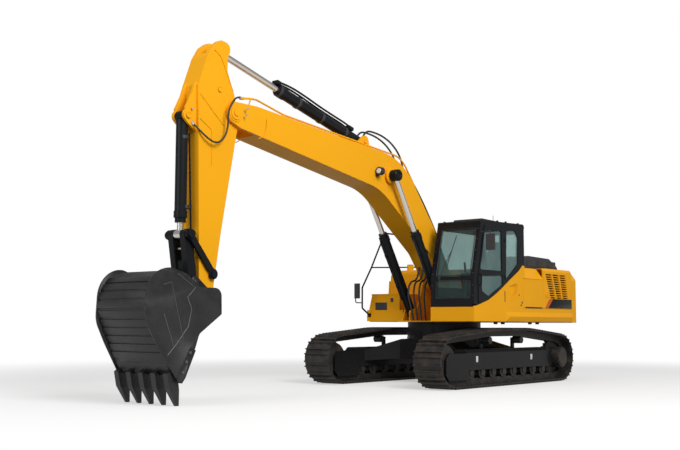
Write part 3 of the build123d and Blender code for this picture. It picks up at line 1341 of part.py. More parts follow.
def h_link():
    """The H-shaped link from the link pin down to the bucket's ears."""
    outline = belt((*BUCKET_LINK_PIN, 78), (*LINK_PIN, 82))
    arms = both_sides(slab_y(outline, H_LOW, H_HIGH))
    boss = drum(*BUCKET_LINK_PIN, 78, -H_HIGH, H_HIGH)
    web_top = bucket_point(BUCKET_LINK_X + 0.42 * (LINK_PIN_X - BUCKET_LINK_X),
                           BUCKET_LINK_Z + 0.42 * (LINK_PIN_Z - BUCKET_LINK_Z))
    web = slab_y(belt((*BUCKET_LINK_PIN, 60), (*web_top, 50)), -H_HIGH + 5, H_HIGH - 5)
    link = arms + boss + web
    return link - drum(*BUCKET_LINK_PIN, 42 + PIN_RUNNING_GAP, -H_HIGH - 5, H_HIGH + 5)


# ---------------------------------------------------------------- bucket
def bucket_back(inset):
    """The bucket's back from the hinge edge round to the lip, as edges moved in by an inset."""
    cx, cz = BUCKET_BACK_CENTRE
    radius = BUCKET_BACK_RADIUS - inset
    top_angle, low_angle = 118.0, -32.0
    top = turn((radius, 0), top_angle)
    middle = turn((radius, 0), (top_angle + low_angle) / 2)
    low = turn((radius, 0), low_angle)
    hinge = (225 + inset * 0.4, -60 - inset)
    lip = (1035 - inset * 0.8, -1085 + inset * 0.5)
    return (
        bucket_point(*hinge),
        bucket_point(cx + top[0], cz + top[1]),
        bucket_point(cx + middle[0], cz + middle[1]),
        bucket_point(cx + low[0], cz + low[1]),
        bucket_point(*lip),
    )


def back_face(inset):
    """The outline between the bucket's back, moved in by an inset, and its mouth."""
    hinge, top, middle, low, lip = bucket_back(inset)
    mouth = bucket_point(400, -600)
    return make_face([
        Line(hinge, top), ThreePointArc(top, middle, low), Line(low, lip), Line(lip, mouth), Line(mouth, hinge),
    ])


def bucket_room():
    """The room inside the bucket's back sheet, open past the mouth."""
    hinge, top, middle, low, lip = bucket_back(BUCKET_WALL)
    below, before = bucket_point(800, -1700), bucket_point(-600, -700)
    hollow = make_face([
        Line(hinge, top), ThreePointArc(top, middle, low), Line(low, lip), Line(lip, below),
        Line(below, before), Line(before, hinge),
    ])
    return slab_y(hollow, -BUCKET_HALF, BUCKET_HALF)


def tapered(solid):
    """A solid drawn square to the bucket's side, swung about the mouth so that the back narrows."""
    foot, head = bucket_point(*BUCKET_LIP), bucket_point(*BUCKET_TOP_CORNER)
    mouth = Axis((foot[0], BUCKET_HALF, foot[1]), (foot[0] - head[0], 0, foot[1] - head[1]))
    return solid.rotate(mouth, BUCKET_TAPER)


def beside_bucket():
    """All that lies outside the inner face of the bucket's left side plate."""
    corners = [bucket_point(x, z) for x, z in ((-400, 1200), (-400, -1900), (2300, -1900), (2300, 1200))]
    return tapered(slab_y(polygon(*corners), BUCKET_HALF - BUCKET_WALL, BUCKET_HALF + 400))


def wear_strips():
    """The strips that protect the bucket's back, from its widest part down to the lip."""
    band = back_face(-STRIP_HEIGHT) - back_face(0)
    corners = [bucket_point(x, z) for x, z in ((700, -60), (1700, -60), (1700, -1000), (700, -1000))]
    band &= polygon(*corners)
    first = BUCKET_HALF - BUCKET_WALL - 110
    strips = []
    for i in range(STRIP_COUNT):
        middle = -first + 2 * first * i / (STRIP_COUNT - 1)
        strips.append(slab_y(band, middle - STRIP_WIDTH / 2, middle + STRIP_WIDTH / 2))
    return strips


def bucket():
    """The bucket shell: bent back sheet, two side plates, wear strips, side cutters and hinge ears."""
    room = bucket_room()
    sheet = slab_y(back_face(0), -BUCKET_HALF, BUCKET_HALF) - room
    sheet -= both_sides(beside_bucket())
    rows = (
        (*BUCKET_TOP_CORNER, 120), (165, -218, 30), (586, -507, 120), (660, -706, 0), (*BUCKET_LIP, 20),
        (1010, -1130, 0), (1335, -640, 200), (1520, -320, 400), (1505, 330, 420), (1010, 480, 330),
        (692, 170, 20),
    )
    side = rounded(*((*bucket_point(x, z), r) for x, z, r in rows))
    cutter = polygon(*(bucket_point(x, z) for x, z in (
        (668, -740), (760, -690), (1010, -1110), (985, -1190), (917, -1200), (860, -1130))))
    plate = slab_y(side, BUCKET_HALF - BUCKET_WALL, BUCKET_HALF)
    plate += slab_y(cutter, BUCKET_HALF, BUCKET_HALF + 20)
    shell = sheet + both_sides(tapered(plate)) + wear_strips()
    ear = belt(
        (*BUCKET_PIN, 105), (*bucket_point(225, -75), 40), (*bucket_point(640, 110), 40),
        (*BUCKET_LINK_PIN, 88),
    )
    shell += both_sides(slab_y(ear, EAR_LOW, EAR_HIGH))
    cut = slab_y(polygon(*(bucket_point(x, z) for x, z in ((240, -100), (1000, 250), (1000, -900), (240, -900)))),
                 EAR_LOW - 1, EAR_HIGH + 1) & room
    shell -= both_sides(cut)
    shell += drum(*BUCKET_PIN, 45, -EAR_HIGH - 30, EAR_HIGH + 30)
    shell += drum(*BUCKET_LINK_PIN, 42, -EAR_HIGH - 25, EAR_HIGH + 25)
    return shell


def bucket_teeth():
    """The row of teeth on the lip: each an adapter that straddles it, and a point that narrows."""
    rows = ((1045, -1010), (1135, -1060), (1090, -1270), (940, TOOTH_TIP_Z), (885, TOOTH_TIP_Z), (905, -1330),
            (930, -1160))
    outline = polygon(*(bucket_point(x, z) for x, z in rows))
    root, tip = BUCKET_PIN[1] + TOOTH_ROOT_Z, BUCKET_PIN[1] + TOOTH_TIP_Z
    flank = polygon((TOOTH_HALF, root), (TOOTH_TIP_HALF, tip), (TOOTH_HALF + 1, tip), (TOOTH_HALF + 1, root))
    low, high = bucket_point(700, 0)[0], bucket_point(1300, 0)[0]
    blank = slab_y(outline, -TOOTH_HALF, TOOTH_HALF) - both_sides(slab_x(flank, low, high))
    blank -= slab_y(back_face(0), -TOOTH_HALF, TOOTH_HALF) - bucket_room()
    tooth = max(blank.solids(), key=lambda piece: piece.volume)
    outermost = BUCKET_HALF - BUCKET_WALL - TOOTH_HALF - TOOTH_SIDE_ROOM
    pitch = 2 * outermost / (TOOTH_COUNT - 1)
    return Compound(children=[Pos(0, i * pitch - outermost, 0) * tooth for i in range(TOOTH_COUNT)])


# ---------------------------------------------------------------- assembly
PARTS = {
    "car_body": car_body,
    "swing_bearing": swing_bearing,
    "track_frame_left": track_frame,
    "track_frame_right": lambda: other_side(track_frame()),
    "track_left": track,
    "track_right": lambda: other_side(track()),
    "drive_sprocket_left": drive_sprocket,
    "drive_sprocket_right": lambda: other_side(drive_sprocket()),
    "idler_left": idler,
    "idler_right": lambda: other_side(idler()),
    "track_rollers_left": track_rollers,
    "track_rollers_right": lambda: other_side(track_rollers()),
    "main_deck": main_deck,
    "left_skirt": left_skirt,
    "right_skirt": right_skirt,
    "counterweight": counterweight,
    "house_frame": house_frame,
    "cab_side_panel": cab_side_panel,
    "left_service_door": left_service_door,
    "grille_door": grille_door,
    "pump_door": pump_door,
    "engine_hood": engine_hood,
    "hood_cover": hood_cover,
    "engine": engine,
    "radiator": radiator,
    "fuel_tank": fuel_tank,
    "hydraulic_tank": hydraulic_tank,
    "right_side_panel": right_side_panel,
    "tool_box": tool_box,
    "tool_box_lid": tool_box_lid,
    "right_handrail": right_handrail,
    "right_mirror": right_mirror,
    "left_mirror": left_mirror,
    "cab_floor": cab_floor,
    "cab_front_frame": cab_front_frame,
    "cab_left_frame": cab_left_frame,
    "cab_right_wall": cab_right_wall,
    "cab_rear_wall": cab_rear_wall,
    "cab_roof": cab_roof,
    "cab_glass": cab_glass,
    "cab_door": cab_door,
    "door_glass": door_glass,
    "operator_seat": operator_seat,
    "consoles": consoles,
    "boom": boom,
    "boom_pipes": boom_pipes,
    "boom_lamp": boom_lamp,
    "boom_barrels": boom_barrels,
    "boom_rods": boom_rods,
    "arm_barrel": arm_barrel,
    "arm_rod": arm_rod,
    "arm": arm,
    "bucket_barrel": bucket_barrel,
    "bucket_rod": bucket_rod,
    "guide_links": guide_links,
    "h_link": h_link,
    "bucket": bucket,
    "bucket_teeth": bucket_teeth,
}


def main():
    """Build every sub-part and write one file for each."""
    os.makedirs("parts", exist_ok=True)
    for name, make in PARTS.items():
        export_step(make(), f"parts/{name}.step")


if __name__ == "__main__":
    main()
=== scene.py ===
"""Dresses the crawler excavator: finishes, small parts, hoses, studio and camera."""

from __future__ import annotations

import json
import logging
import math
from dataclasses import dataclass
from enum import Enum
from typing import Iterable, Sequence

import bmesh
import bpy
from mathutils import Matrix, Vector

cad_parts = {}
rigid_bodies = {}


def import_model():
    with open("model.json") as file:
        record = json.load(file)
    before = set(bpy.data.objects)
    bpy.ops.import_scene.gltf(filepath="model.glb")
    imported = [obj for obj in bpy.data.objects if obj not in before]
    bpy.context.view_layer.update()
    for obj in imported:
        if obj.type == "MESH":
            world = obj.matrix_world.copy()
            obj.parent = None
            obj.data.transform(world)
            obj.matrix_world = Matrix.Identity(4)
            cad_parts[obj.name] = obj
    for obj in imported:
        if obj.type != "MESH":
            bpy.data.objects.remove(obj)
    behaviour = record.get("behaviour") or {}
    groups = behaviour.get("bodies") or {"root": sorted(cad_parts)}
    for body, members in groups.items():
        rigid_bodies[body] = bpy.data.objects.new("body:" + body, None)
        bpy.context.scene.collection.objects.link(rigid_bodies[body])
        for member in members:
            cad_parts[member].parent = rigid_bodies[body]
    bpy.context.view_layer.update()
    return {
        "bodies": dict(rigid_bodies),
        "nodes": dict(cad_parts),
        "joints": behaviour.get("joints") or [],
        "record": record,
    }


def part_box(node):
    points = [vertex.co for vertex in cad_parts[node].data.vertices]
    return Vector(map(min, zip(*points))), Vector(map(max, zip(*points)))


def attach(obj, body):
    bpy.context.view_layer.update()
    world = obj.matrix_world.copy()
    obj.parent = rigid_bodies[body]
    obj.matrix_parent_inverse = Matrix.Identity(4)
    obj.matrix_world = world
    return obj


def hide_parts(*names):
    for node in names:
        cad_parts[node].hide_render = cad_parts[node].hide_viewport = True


LOG = logging.getLogger("excavator")
Point = tuple[float, float, float]
Pair = tuple[float, float]
Colour = tuple[float, float, float, float]


# ---------------------------------------------------------------- shader maths
class Value:
    """A number socket of a material that Python's operators work on."""

    def __init__(self, graph: "Graph", socket: bpy.types.NodeSocket) -> None:
        """Wraps a socket of a graph."""
        self.graph = graph
        self.socket = socket

    def _math(self, operation: str, *values: "Value | float") -> "Value":
        """Adds a Math node.

        Args:
            operation: the node's operation.
            values: the numbers or sockets that it works on, in order.

        Returns:
            The node's result.
        """
        links = {str(i): v for i, v in enumerate(values)}
        return self.graph.value("ShaderNodeMath", {"operation": operation}, links)

    def __add__(self, other: "Value | float") -> "Value":
        """Sum."""
        return self._math("ADD", self, other)

    def __mul__(self, other: "Value | float") -> "Value":
        """Product."""
        return self._math("MULTIPLY", self, other)

    def __rsub__(self, other: float) -> "Value":
        """Difference from a number."""
        return self._math("SUBTRACT", other, self)

    __radd__ = __add__
    __rmul__ = __mul__

    def step(self, low: float, high: float) -> "Value":
        """Runs smoothly between two bounds.

        Args:
            low: where it is still 0.
            high: where it comes to 1.

        Returns:
            The share.
        """
        settings = {"interpolation_type": "SMOOTHSTEP"}
        links = {"Value": self, "From Min": low, "From Max": high}
        return self.graph.value("ShaderNodeMapRange", settings, links)


class Graph:
    """A material and the nodes that make it."""

    def __init__(self, name: str) -> None:
        """Makes an empty material."""
        self.material = bpy.data.materials.new(name)
        self.material.use_nodes = True
        self.tree = self.material.node_tree
        self.tree.nodes.clear()
        self.output = self.tree.nodes.new("ShaderNodeOutputMaterial")

    def node(self, kind: str, settings: dict | None = None, links: dict | None = None) -> bpy.types.Node:
        """Adds a node.

        Args:
            kind: the node's type.
            settings: its properties, which are set first.
            links: numbers, colours or sockets, by the input's name or number.

        Returns:
            The node.
        """
        made = self.tree.nodes.new(kind)
        for key, setting in (settings or {}).items():
            setattr(made, key, setting)
        for key, source in (links or {}).items():
            target = made.inputs[int(key) if key.isdigit() else key]
            if isinstance(source, Value):
                source = source.socket
            if isinstance(source, bpy.types.NodeSocket):
                self.tree.links.new(source, target)
            else:
                target.default_value = source
        return made

    def value(self, kind: str, settings: dict | None = None, links: dict | None = None,
              out: int | str = 0) -> Value:
        """Adds a node and wraps one of its outputs."""
        return Value(self, self.node(kind, settings, links).outputs[out])

    def place(self, scale: Point = (1.0, 1.0, 1.0)) -> bpy.types.NodeSocket:
        """Object coordinates, scaled."""
        spot = self.node("ShaderNodeTexCoord").outputs["Object"]
        return self.node("ShaderNodeMapping", {}, {"Vector": spot, "Scale": scale}).outputs[0]

    def axis(self, letter: str) -> Value:
        """One coordinate of the place on the object."""
        spot = self.node("ShaderNodeTexCoord").outputs["Object"]
        return self.value("ShaderNodeSeparateXYZ", {}, {"0": spot}, letter)

    def facing(self, letter: str) -> Value:
        """One part of the surface's direction."""
        direction = self.node("ShaderNodeNewGeometry").outputs["Normal"]
        return self.value("ShaderNodeSeparateXYZ", {}, {"0": direction}, letter)

    def noise(self, scale: float, detail: float = 3.0, roughness: float = 0.55,
              stretch: Point = (1.0, 1.0, 1.0)) -> Value:
        """Cloudy noise from 0 to 1.

        Args:
            scale: how many clouds lie in a metre, about.
            detail: how many finer layers it has.
            roughness: how strong those are.
            stretch: how much its place is scaled first, along each axis.

        Returns:
            The noise.
        """
        links = {"Vector": self.place(stretch), "Scale": scale, "Detail": detail, "Roughness": roughness}
        return self.value("ShaderNodeTexNoise", {"noise_dimensions": "3D"}, links, "Fac")

    def mix(self, factor: Value | float, first: object, second: object) -> bpy.types.NodeSocket:
        """A colour between two others."""
        links = {"0": factor, "6": first, "7": second}
        return self.node("ShaderNodeMix", {"data_type": "RGBA"}, links).outputs[2]

    def bump(self, height: Value, strength: float, distance: float) -> bpy.types.NodeSocket:
        """A normal raised by a height."""
        links = {"Height": height, "Strength": strength, "Distance": distance}
        return self.node("ShaderNodeBump", {}, links).outputs["Normal"]

    def finish(self, **sockets: object) -> bpy.types.Material:
        """Closes the graph with a Principled surface.

        Args:
            sockets: its inputs, with an underscore for each space.

        Returns:
            The material.
        """
        links = {key.replace("_", " "): source for key, source in sockets.items()}
        surface = self.node("ShaderNodeBsdfPrincipled", {}, links)
        self.tree.links.new(surface.outputs[0], self.output.inputs["Surface"])
        return self.material


# ---------------------------------------------------------------- finishes
@dataclass(frozen=True)
class PaintFinish:
    """Sprayed paint with a faint orange peel, uneven fading and dust low down."""

    name: str
    colour: Colour
    worn: Colour
    roughness: float = 0.36
    coat: float = 0.25
    dust: float = 0.25
    dust_top: float = 1.6
    shine: float = 0.16
    index: float = 1.3

    def build(self) -> bpy.types.Material:
        """Makes the material.

        Returns:
            The material.
        """
        graph = Graph(self.name)
        patches = graph.noise(0.9, 4.0).step(0.35, 0.75)
        speckle = graph.noise(38.0, 4.0, 0.7)
        low = 1.0 - graph.axis("Z").step(0.2, self.dust_top)
        upward = graph.facing("Z").step(0.2, 0.95)
        dust = (low * 0.7 + upward * 0.3) * speckle.step(0.42, 0.75) * self.dust
        base = graph.mix(patches * 0.35, self.colour, self.worn)
        base = graph.mix(dust, base, (0.42, 0.34, 0.24, 1.0))
        peel = graph.noise(160.0, 2.0, 0.5)
        sheen = patches * 0.08 + dust * 0.5 + self.roughness
        normal = graph.bump(peel, 0.04, 0.002)
        return graph.finish(Base_Color=base, Roughness=sheen, Normal=normal, Coat_Weight=self.coat,
                            Coat_Roughness=0.12, Specular_IOR_Level=self.shine, IOR=self.index)


@dataclass(frozen=True)
class SteelFinish:
    """Dark steel with rust and dried soil."""

    name: str
    colour: Colour
    rust: Colour
    amount: float = 0.5
    roughness: float = 0.6
    metallic: float = 0.5

    def build(self) -> bpy.types.Material:
        """Makes the material.

        Returns:
            The material.
        """
        graph = Graph(self.name)
        stain = graph.noise(6.0, 6.0, 0.65).step(0.4, 0.68) * self.amount
        grit = graph.noise(70.0, 5.0, 0.75)
        base = graph.mix(stain, self.colour, self.rust)
        base = graph.mix(grit.step(0.55, 0.8) * 0.3, base, (0.3, 0.24, 0.17, 1.0))
        rough = stain * 0.25 + grit * 0.15 + self.roughness
        metal = (1.0 - stain) * self.metallic
        return graph.finish(Base_Color=base, Roughness=rough, Metallic=metal,
                            Normal=graph.bump(grit, 0.25, 0.004))


@dataclass(frozen=True)
class ChromeFinish:
    """Hard chrome of a piston rod, with faint smears."""

    name: str
    colour: Colour = (0.60, 0.57, 0.53, 1.0)
    roughness: float = 0.2

    def build(self) -> bpy.types.Material:
        """Makes the material.

        Returns:
            The material.
        """
        graph = Graph(self.name)
        smear = graph.noise(5.0, 3.0)
        base = graph.mix(smear.step(0.5, 0.8) * 0.3, self.colour, (0.5, 0.48, 0.44, 1.0))
        return graph.finish(Base_Color=base, Roughness=smear * 0.12 + self.roughness, Metallic=1.0)


@dataclass(frozen=True)
class MouldedFinish:
    """Moulded plastic or rubber with a fine grain."""

    name: str
    colour: Colour
    roughness: float = 0.55
    grain: float = 240.0

    def build(self) -> bpy.types.Material:
        """Makes the material.

        Returns:
            The material.
        """
        graph = Graph(self.name)
        grain = graph.noise(self.grain, 3.0, 0.6)
        fade = graph.noise(3.0, 3.0)
        pale = tuple(min(1.0, c * 1.8 + 0.01) for c in self.colour[:3]) + (1.0,)
        base = graph.mix(fade.step(0.45, 0.8) * 0.4, self.colour, pale)
        return graph.finish(Base_Color=base, Roughness=grain * 0.12 + self.roughness,
                            Normal=graph.bump(grain, 0.12, 0.0015))


@dataclass(frozen=True)
class GlassFinish:
    """Tinted cab glass that shows what is behind it."""

    name: str
    tint: Colour = (0.30, 0.42, 0.42, 1.0)
    veil: float = 0.04

    def build(self) -> bpy.types.Material:
        """Makes the material.

        Returns:
            The material.
        """
        graph = Graph(self.name)
        streak = graph.noise(2.2, 3.0, stretch=(1.0, 1.0, 0.4))
        tone = graph.mix(streak.step(0.4, 0.75) * 0.5, self.tint, (0.5, 0.6, 0.57, 1.0))
        sheen = graph.node("ShaderNodeBsdfPrincipled", {},
                           {"Base Color": tone, "Roughness": 0.04, "Metallic": 0.0, "Coat Weight": 0.6})
        clear = graph.node("ShaderNodeBsdfTransparent", {}, {"Color": (0.84, 0.93, 0.92, 1.0)})
        edge = graph.value("ShaderNodeLayerWeight", {}, {"Blend": 0.35}, "Fresnel")
        joined = graph.node("ShaderNodeMixShader", {}, {"0": edge * 0.6 + self.veil, "1": clear.outputs[0],
                                                        "2": sheen.outputs[0]})
        graph.tree.links.new(joined.outputs[0], graph.output.inputs["Surface"])
        return graph.material


@dataclass(frozen=True)
class ClothFinish:
    """Woven seat cloth."""

    name: str
    colour: Colour
    pitch: float = 260.0

    def build(self) -> bpy.types.Material:
        """Makes the material.

        Returns:
            The material.
        """
        graph = Graph(self.name)
        links = {"Vector": graph.place(), "Scale": self.pitch}
        weave = graph.value("ShaderNodeTexWave", {"wave_type": "BANDS"}, links, "Fac")
        speck = graph.noise(120.0, 3.0)
        pale = tuple(min(1.0, c * 1.7 + 0.02) for c in self.colour[:3]) + (1.0,)
        base = graph.mix(speck.step(0.4, 0.7) * 0.5, self.colour, pale)
        return graph.finish(Base_Color=base, Roughness=0.9, Normal=graph.bump(weave, 0.3, 0.001))


YELLOW: Colour = (0.93, 0.42, 0.010, 1.0)
YELLOW_WORN: Colour = (0.88, 0.385, 0.010, 1.0)


class Finish(Enum):
    """Every finish on the machine, each with the record's slot that it is closest to."""

    YELLOW = PaintFinish("yellow_paint", YELLOW, YELLOW_WORN, 0.42, 0.0, 0.08)
    BLACK = PaintFinish("black_paint", (0.009, 0.010, 0.012, 1.0), (0.014, 0.015, 0.017, 1.0),
                        0.38, 0.1, 0.06, 2.4)
    FRAME = PaintFinish("track_frame_paint", (0.010, 0.010, 0.011, 1.0), (0.017, 0.016, 0.016, 1.0),
                        0.4, 0.1, 0.05)
    BUCKET = SteelFinish("bucket_steel", (0.011, 0.0115, 0.0125, 1.0), (0.022, 0.019, 0.017, 1.0),
                         0.4, 0.36, 0.2)
    TRACK = SteelFinish("track_steel", (0.022, 0.021, 0.021, 1.0), (0.075, 0.052, 0.036, 1.0), 0.6, 0.5, 0.4)
    CHROME = ChromeFinish("rod_chrome")
    GLASS = GlassFinish("cab_glass")
    CLOTH = ClothFinish("seat_cloth", (0.05, 0.05, 0.055, 1.0))
    PLASTIC = MouldedFinish("black_plastic", (0.02, 0.02, 0.021, 1.0), 0.5)
    HOSE = MouldedFinish("hose_rubber", (0.014, 0.014, 0.015, 1.0), 0.45, 400.0)
    ENGINE = SteelFinish("engine_iron", (0.12, 0.12, 0.12, 1.0), (0.16, 0.11, 0.07, 1.0), 0.4, 0.6, 0.5)
    COOLER = SteelFinish("radiator_alloy", (0.05, 0.05, 0.05, 1.0), (0.09, 0.07, 0.05, 1.0), 0.4, 0.55, 0.7)
    ORANGE = PaintFinish("orange_stripe", (0.62, 0.09, 0.012, 1.0), (0.55, 0.08, 0.012, 1.0), 0.34, 0.3, 0.1)
    WHITE = PaintFinish("white_mark", (0.75, 0.74, 0.71, 1.0), (0.66, 0.64, 0.60, 1.0), 0.4, 0.1, 0.2)
    LENS = MouldedFinish("lamp_lens", (0.72, 0.74, 0.74, 1.0), 0.12, 90.0)
    BUCKET_EDGE = SteelFinish("bucket_edge_steel", (0.10, 0.105, 0.11, 1.0), (0.06, 0.055, 0.05, 1.0),
                              0.4, 0.38, 0.4)
    MIRROR = ChromeFinish("mirror_silver", (0.8, 0.82, 0.84, 1.0), 0.03)
    BRIGHT = SteelFinish("bright_steel", (0.55, 0.54, 0.52, 1.0), (0.35, 0.29, 0.22, 1.0), 0.5, 0.35, 0.9)

    @property
    def slot(self) -> str:
        """The record's slot that the finish belongs to."""
        return NEAREST_SLOT.get(self.value.name, self.value.name)


NEAREST_SLOT: dict[str, str] = {"orange_stripe": "yellow_paint", "white_mark": "yellow_paint",
                                "lamp_lens": "cab_glass", "bright_steel": "rod_chrome",
                                "bucket_edge_steel": "bucket_steel", "mirror_silver": "cab_glass",
                                "hose_rubber": "black_plastic"}


class Workshop:
    """Holds the finishes that are made, and dresses objects with them."""

    def __init__(self) -> None:
        """Starts with no finish made."""
        self.made: dict[Finish, bpy.types.Material] = {}

    def material(self, finish: Finish) -> bpy.types.Material:
        """The material of a finish, made once."""
        if finish not in self.made:
            self.made[finish] = finish.value.build()
        return self.made[finish]

    def dress(self, thing: bpy.types.Object, finish: Finish) -> None:
        """Gives an object one finish all over."""
        thing.data.materials.clear()
        thing.data.materials.append(self.material(finish))


# ---------------------------------------------------------------- studio
@dataclass
class Studio:
    """The pale floor, the soft lamps, the white surround and the camera."""

    eye: Point = (17.195, 11.472, 1.165)
    yaw: float = -2.44966
    pitch: float = 0.09858
    roll: float = -0.00335
    lens: float = 52.94
    sensor: float = 36.0
    reach: float = 500.0
    floor_size: float = 400.0
    floor_drop: float = 0.002
    floor_fade: Pair = (7.0, 16.0)
    floor_lit: Colour = (0.24, 0.24, 0.24, 1.0)
    floor_seen: Colour = (0.88, 0.88, 0.88, 1.0)
    white: Colour = (1.0, 1.0, 1.0, 1.0)
    world_light: float = 0.42

    def floor(self) -> None:
        """A wide pale floor that keeps the machine's shadow."""
        bpy.ops.mesh.primitive_plane_add(size=self.floor_size, location=(0.0, 0.0, -self.floor_drop))
        plane = bpy.context.active_object
        plane.name = "studio_floor"
        graph = Graph("pale_floor")
        spot = graph.place()
        distance = graph.value("ShaderNodeVectorMath", {"operation": "LENGTH"}, {"0": spot}, "Value")
        far = distance.step(*self.floor_fade)
        ray = graph.node("ShaderNodeLightPath")
        direct, glossy, through = (Value(graph, ray.outputs[f"Is {kind} Ray"])
                                   for kind in ("Camera", "Glossy", "Transmission"))
        seen = direct + glossy + through
        tone = graph.mix(seen, self.floor_lit, self.floor_seen)
        card = graph.node("ShaderNodeBsdfDiffuse", {}, {"Color": tone})
        glow = graph.node("ShaderNodeEmission", {}, {"Color": self.white, "Strength": 1.0})
        part = (far * 0.55 + 0.45) * seen.step(0.0, 0.5)
        links = {"0": part, "1": card.outputs[0], "2": glow.outputs[0]}
        joined = graph.node("ShaderNodeMixShader", {}, links)
        graph.tree.links.new(joined.outputs[0], graph.output.inputs["Surface"])
        plane.data.materials.append(graph.material)

    def lamp(self, name: str, place: Point, aim: Point, size: float, power: float) -> None:
        """Adds one soft lamp.

        Args:
            name: its name.
            place: where it hangs.
            aim: what it points at.
            size: the length of its sides.
            power: its power in watts.
        """
        data = bpy.data.lights.new(name, "AREA")
        data.size = size
        data.energy = power
        lamp = bpy.data.objects.new(name, data)
        bpy.context.scene.collection.objects.link(lamp)
        lamp.location = place
        lamp.rotation_euler = (Vector(aim) - Vector(place)).to_track_quat("-Z", "Y").to_euler()

    def surround(self) -> None:
        """A white world for what is seen, and a softer one for what is lit."""
        world = bpy.data.worlds.new("white_surround")
        bpy.context.scene.world = world
        world.use_nodes = True
        tree = world.node_tree
        ray = tree.nodes.new("ShaderNodeLightPath")
        seen = tree.nodes.new("ShaderNodeMath")
        seen.operation = "MAXIMUM"
        tree.links.new(ray.outputs["Is Camera Ray"], seen.inputs[0])
        tree.links.new(ray.outputs["Is Transmission Ray"], seen.inputs[1])
        level = tree.nodes.new("ShaderNodeMapRange")
        level.inputs["To Min"].default_value = self.world_light
        level.inputs["To Max"].default_value = 1.0
        tree.links.new(seen.outputs[0], level.inputs["Value"])
        back = tree.nodes["Background"]
        back.inputs["Color"].default_value = self.white
        tree.links.new(level.outputs[0], back.inputs["Strength"])

    def camera(self) -> None:
        """The camera, low and in front on the cab's side."""
        data = bpy.data.cameras.new("main_camera")
        data.lens = self.lens
        data.sensor_width = self.sensor
        data.clip_end = self.reach
        camera = bpy.data.objects.new("main_camera", data)
        bpy.context.scene.collection.objects.link(camera)
        camera.location = self.eye
        aim = Vector((math.cos(self.pitch) * math.cos(self.yaw), math.cos(self.pitch) * math.sin(self.yaw),
                      math.sin(self.pitch)))
        turn = aim.to_track_quat("-Z", "Y") @ Matrix.Rotation(-self.roll, 3, "Z").to_quaternion()
        camera.rotation_euler = turn.to_euler()
        bpy.context.scene.camera = camera

    def build(self) -> None:
        """Sets the whole studio up."""
        self.floor()
        self.surround()
        self.lamp("key_lamp", (9.0, 16.0, 13.0), (1.5, 0.0, 2.0), 9.0, 3100.0)
        self.lamp("front_lamp", (20.0, -2.0, 8.0), (4.0, 0.0, 2.0), 8.0, 700.0)
        self.camera()
        bpy.context.scene.view_settings.view_transform = "Standard"


# ---------------------------------------------------------------- modelling bench
@dataclass(frozen=True)
class Line:
    """A line in the machine's middle plane that places are given along, across and sideways from."""

    origin: Pair
    degrees: float

    def at(self, along: float, across: float, y: float = 0.0) -> Vector:
        """A place by the line.

        Args:
            along: the distance along the line.
            across: the distance across it.
            y: the distance sideways from the middle plane.

        Returns:
            The place.
        """
        c, s = math.cos(math.radians(self.degrees)), math.sin(math.radians(self.degrees))
        return Vector((self.origin[0] + along * c - across * s, y, self.origin[1] + along * s + across * c))


BOOM = Line((0.180, 1.980), 22.47)
ARM = Line((BOOM.at(6.568, 0.0).x, BOOM.at(6.568, 0.0).z), -81.12)
WIDEST_BEVEL = 0.45
WIDEST_RIM = 0.4
FORWARD = Vector((1.0, 0.0, 0.0))
LEFT = Vector((0.0, 1.0, 0.0))
UP = Vector((0.0, 0.0, 1.0))


def middle_plane(place: Pair) -> Vector:
    """The place in the machine's middle plane at an X and a Z."""
    return Vector((place[0], 0.0, place[1]))


@dataclass(frozen=True)
class Round:
    """The sizes of a round piece with softened rims.

    Where an inset is given, its faces have a step that far inside the rim. The sink is how deep the step goes
    in, or out where it is negative. A hole goes right through. A bolt's head has 6 sides.
    """

    radius: float
    depth: float
    bevel: float = 0.004
    sides: int = 32
    inset: float = 0.0
    sink: float = 0.0
    hole: float = 0.0


@dataclass(frozen=True)
class Brick:
    """The length, width and height of a block, and the roundness of its edges."""

    size: Point
    bevel: float = 0.005


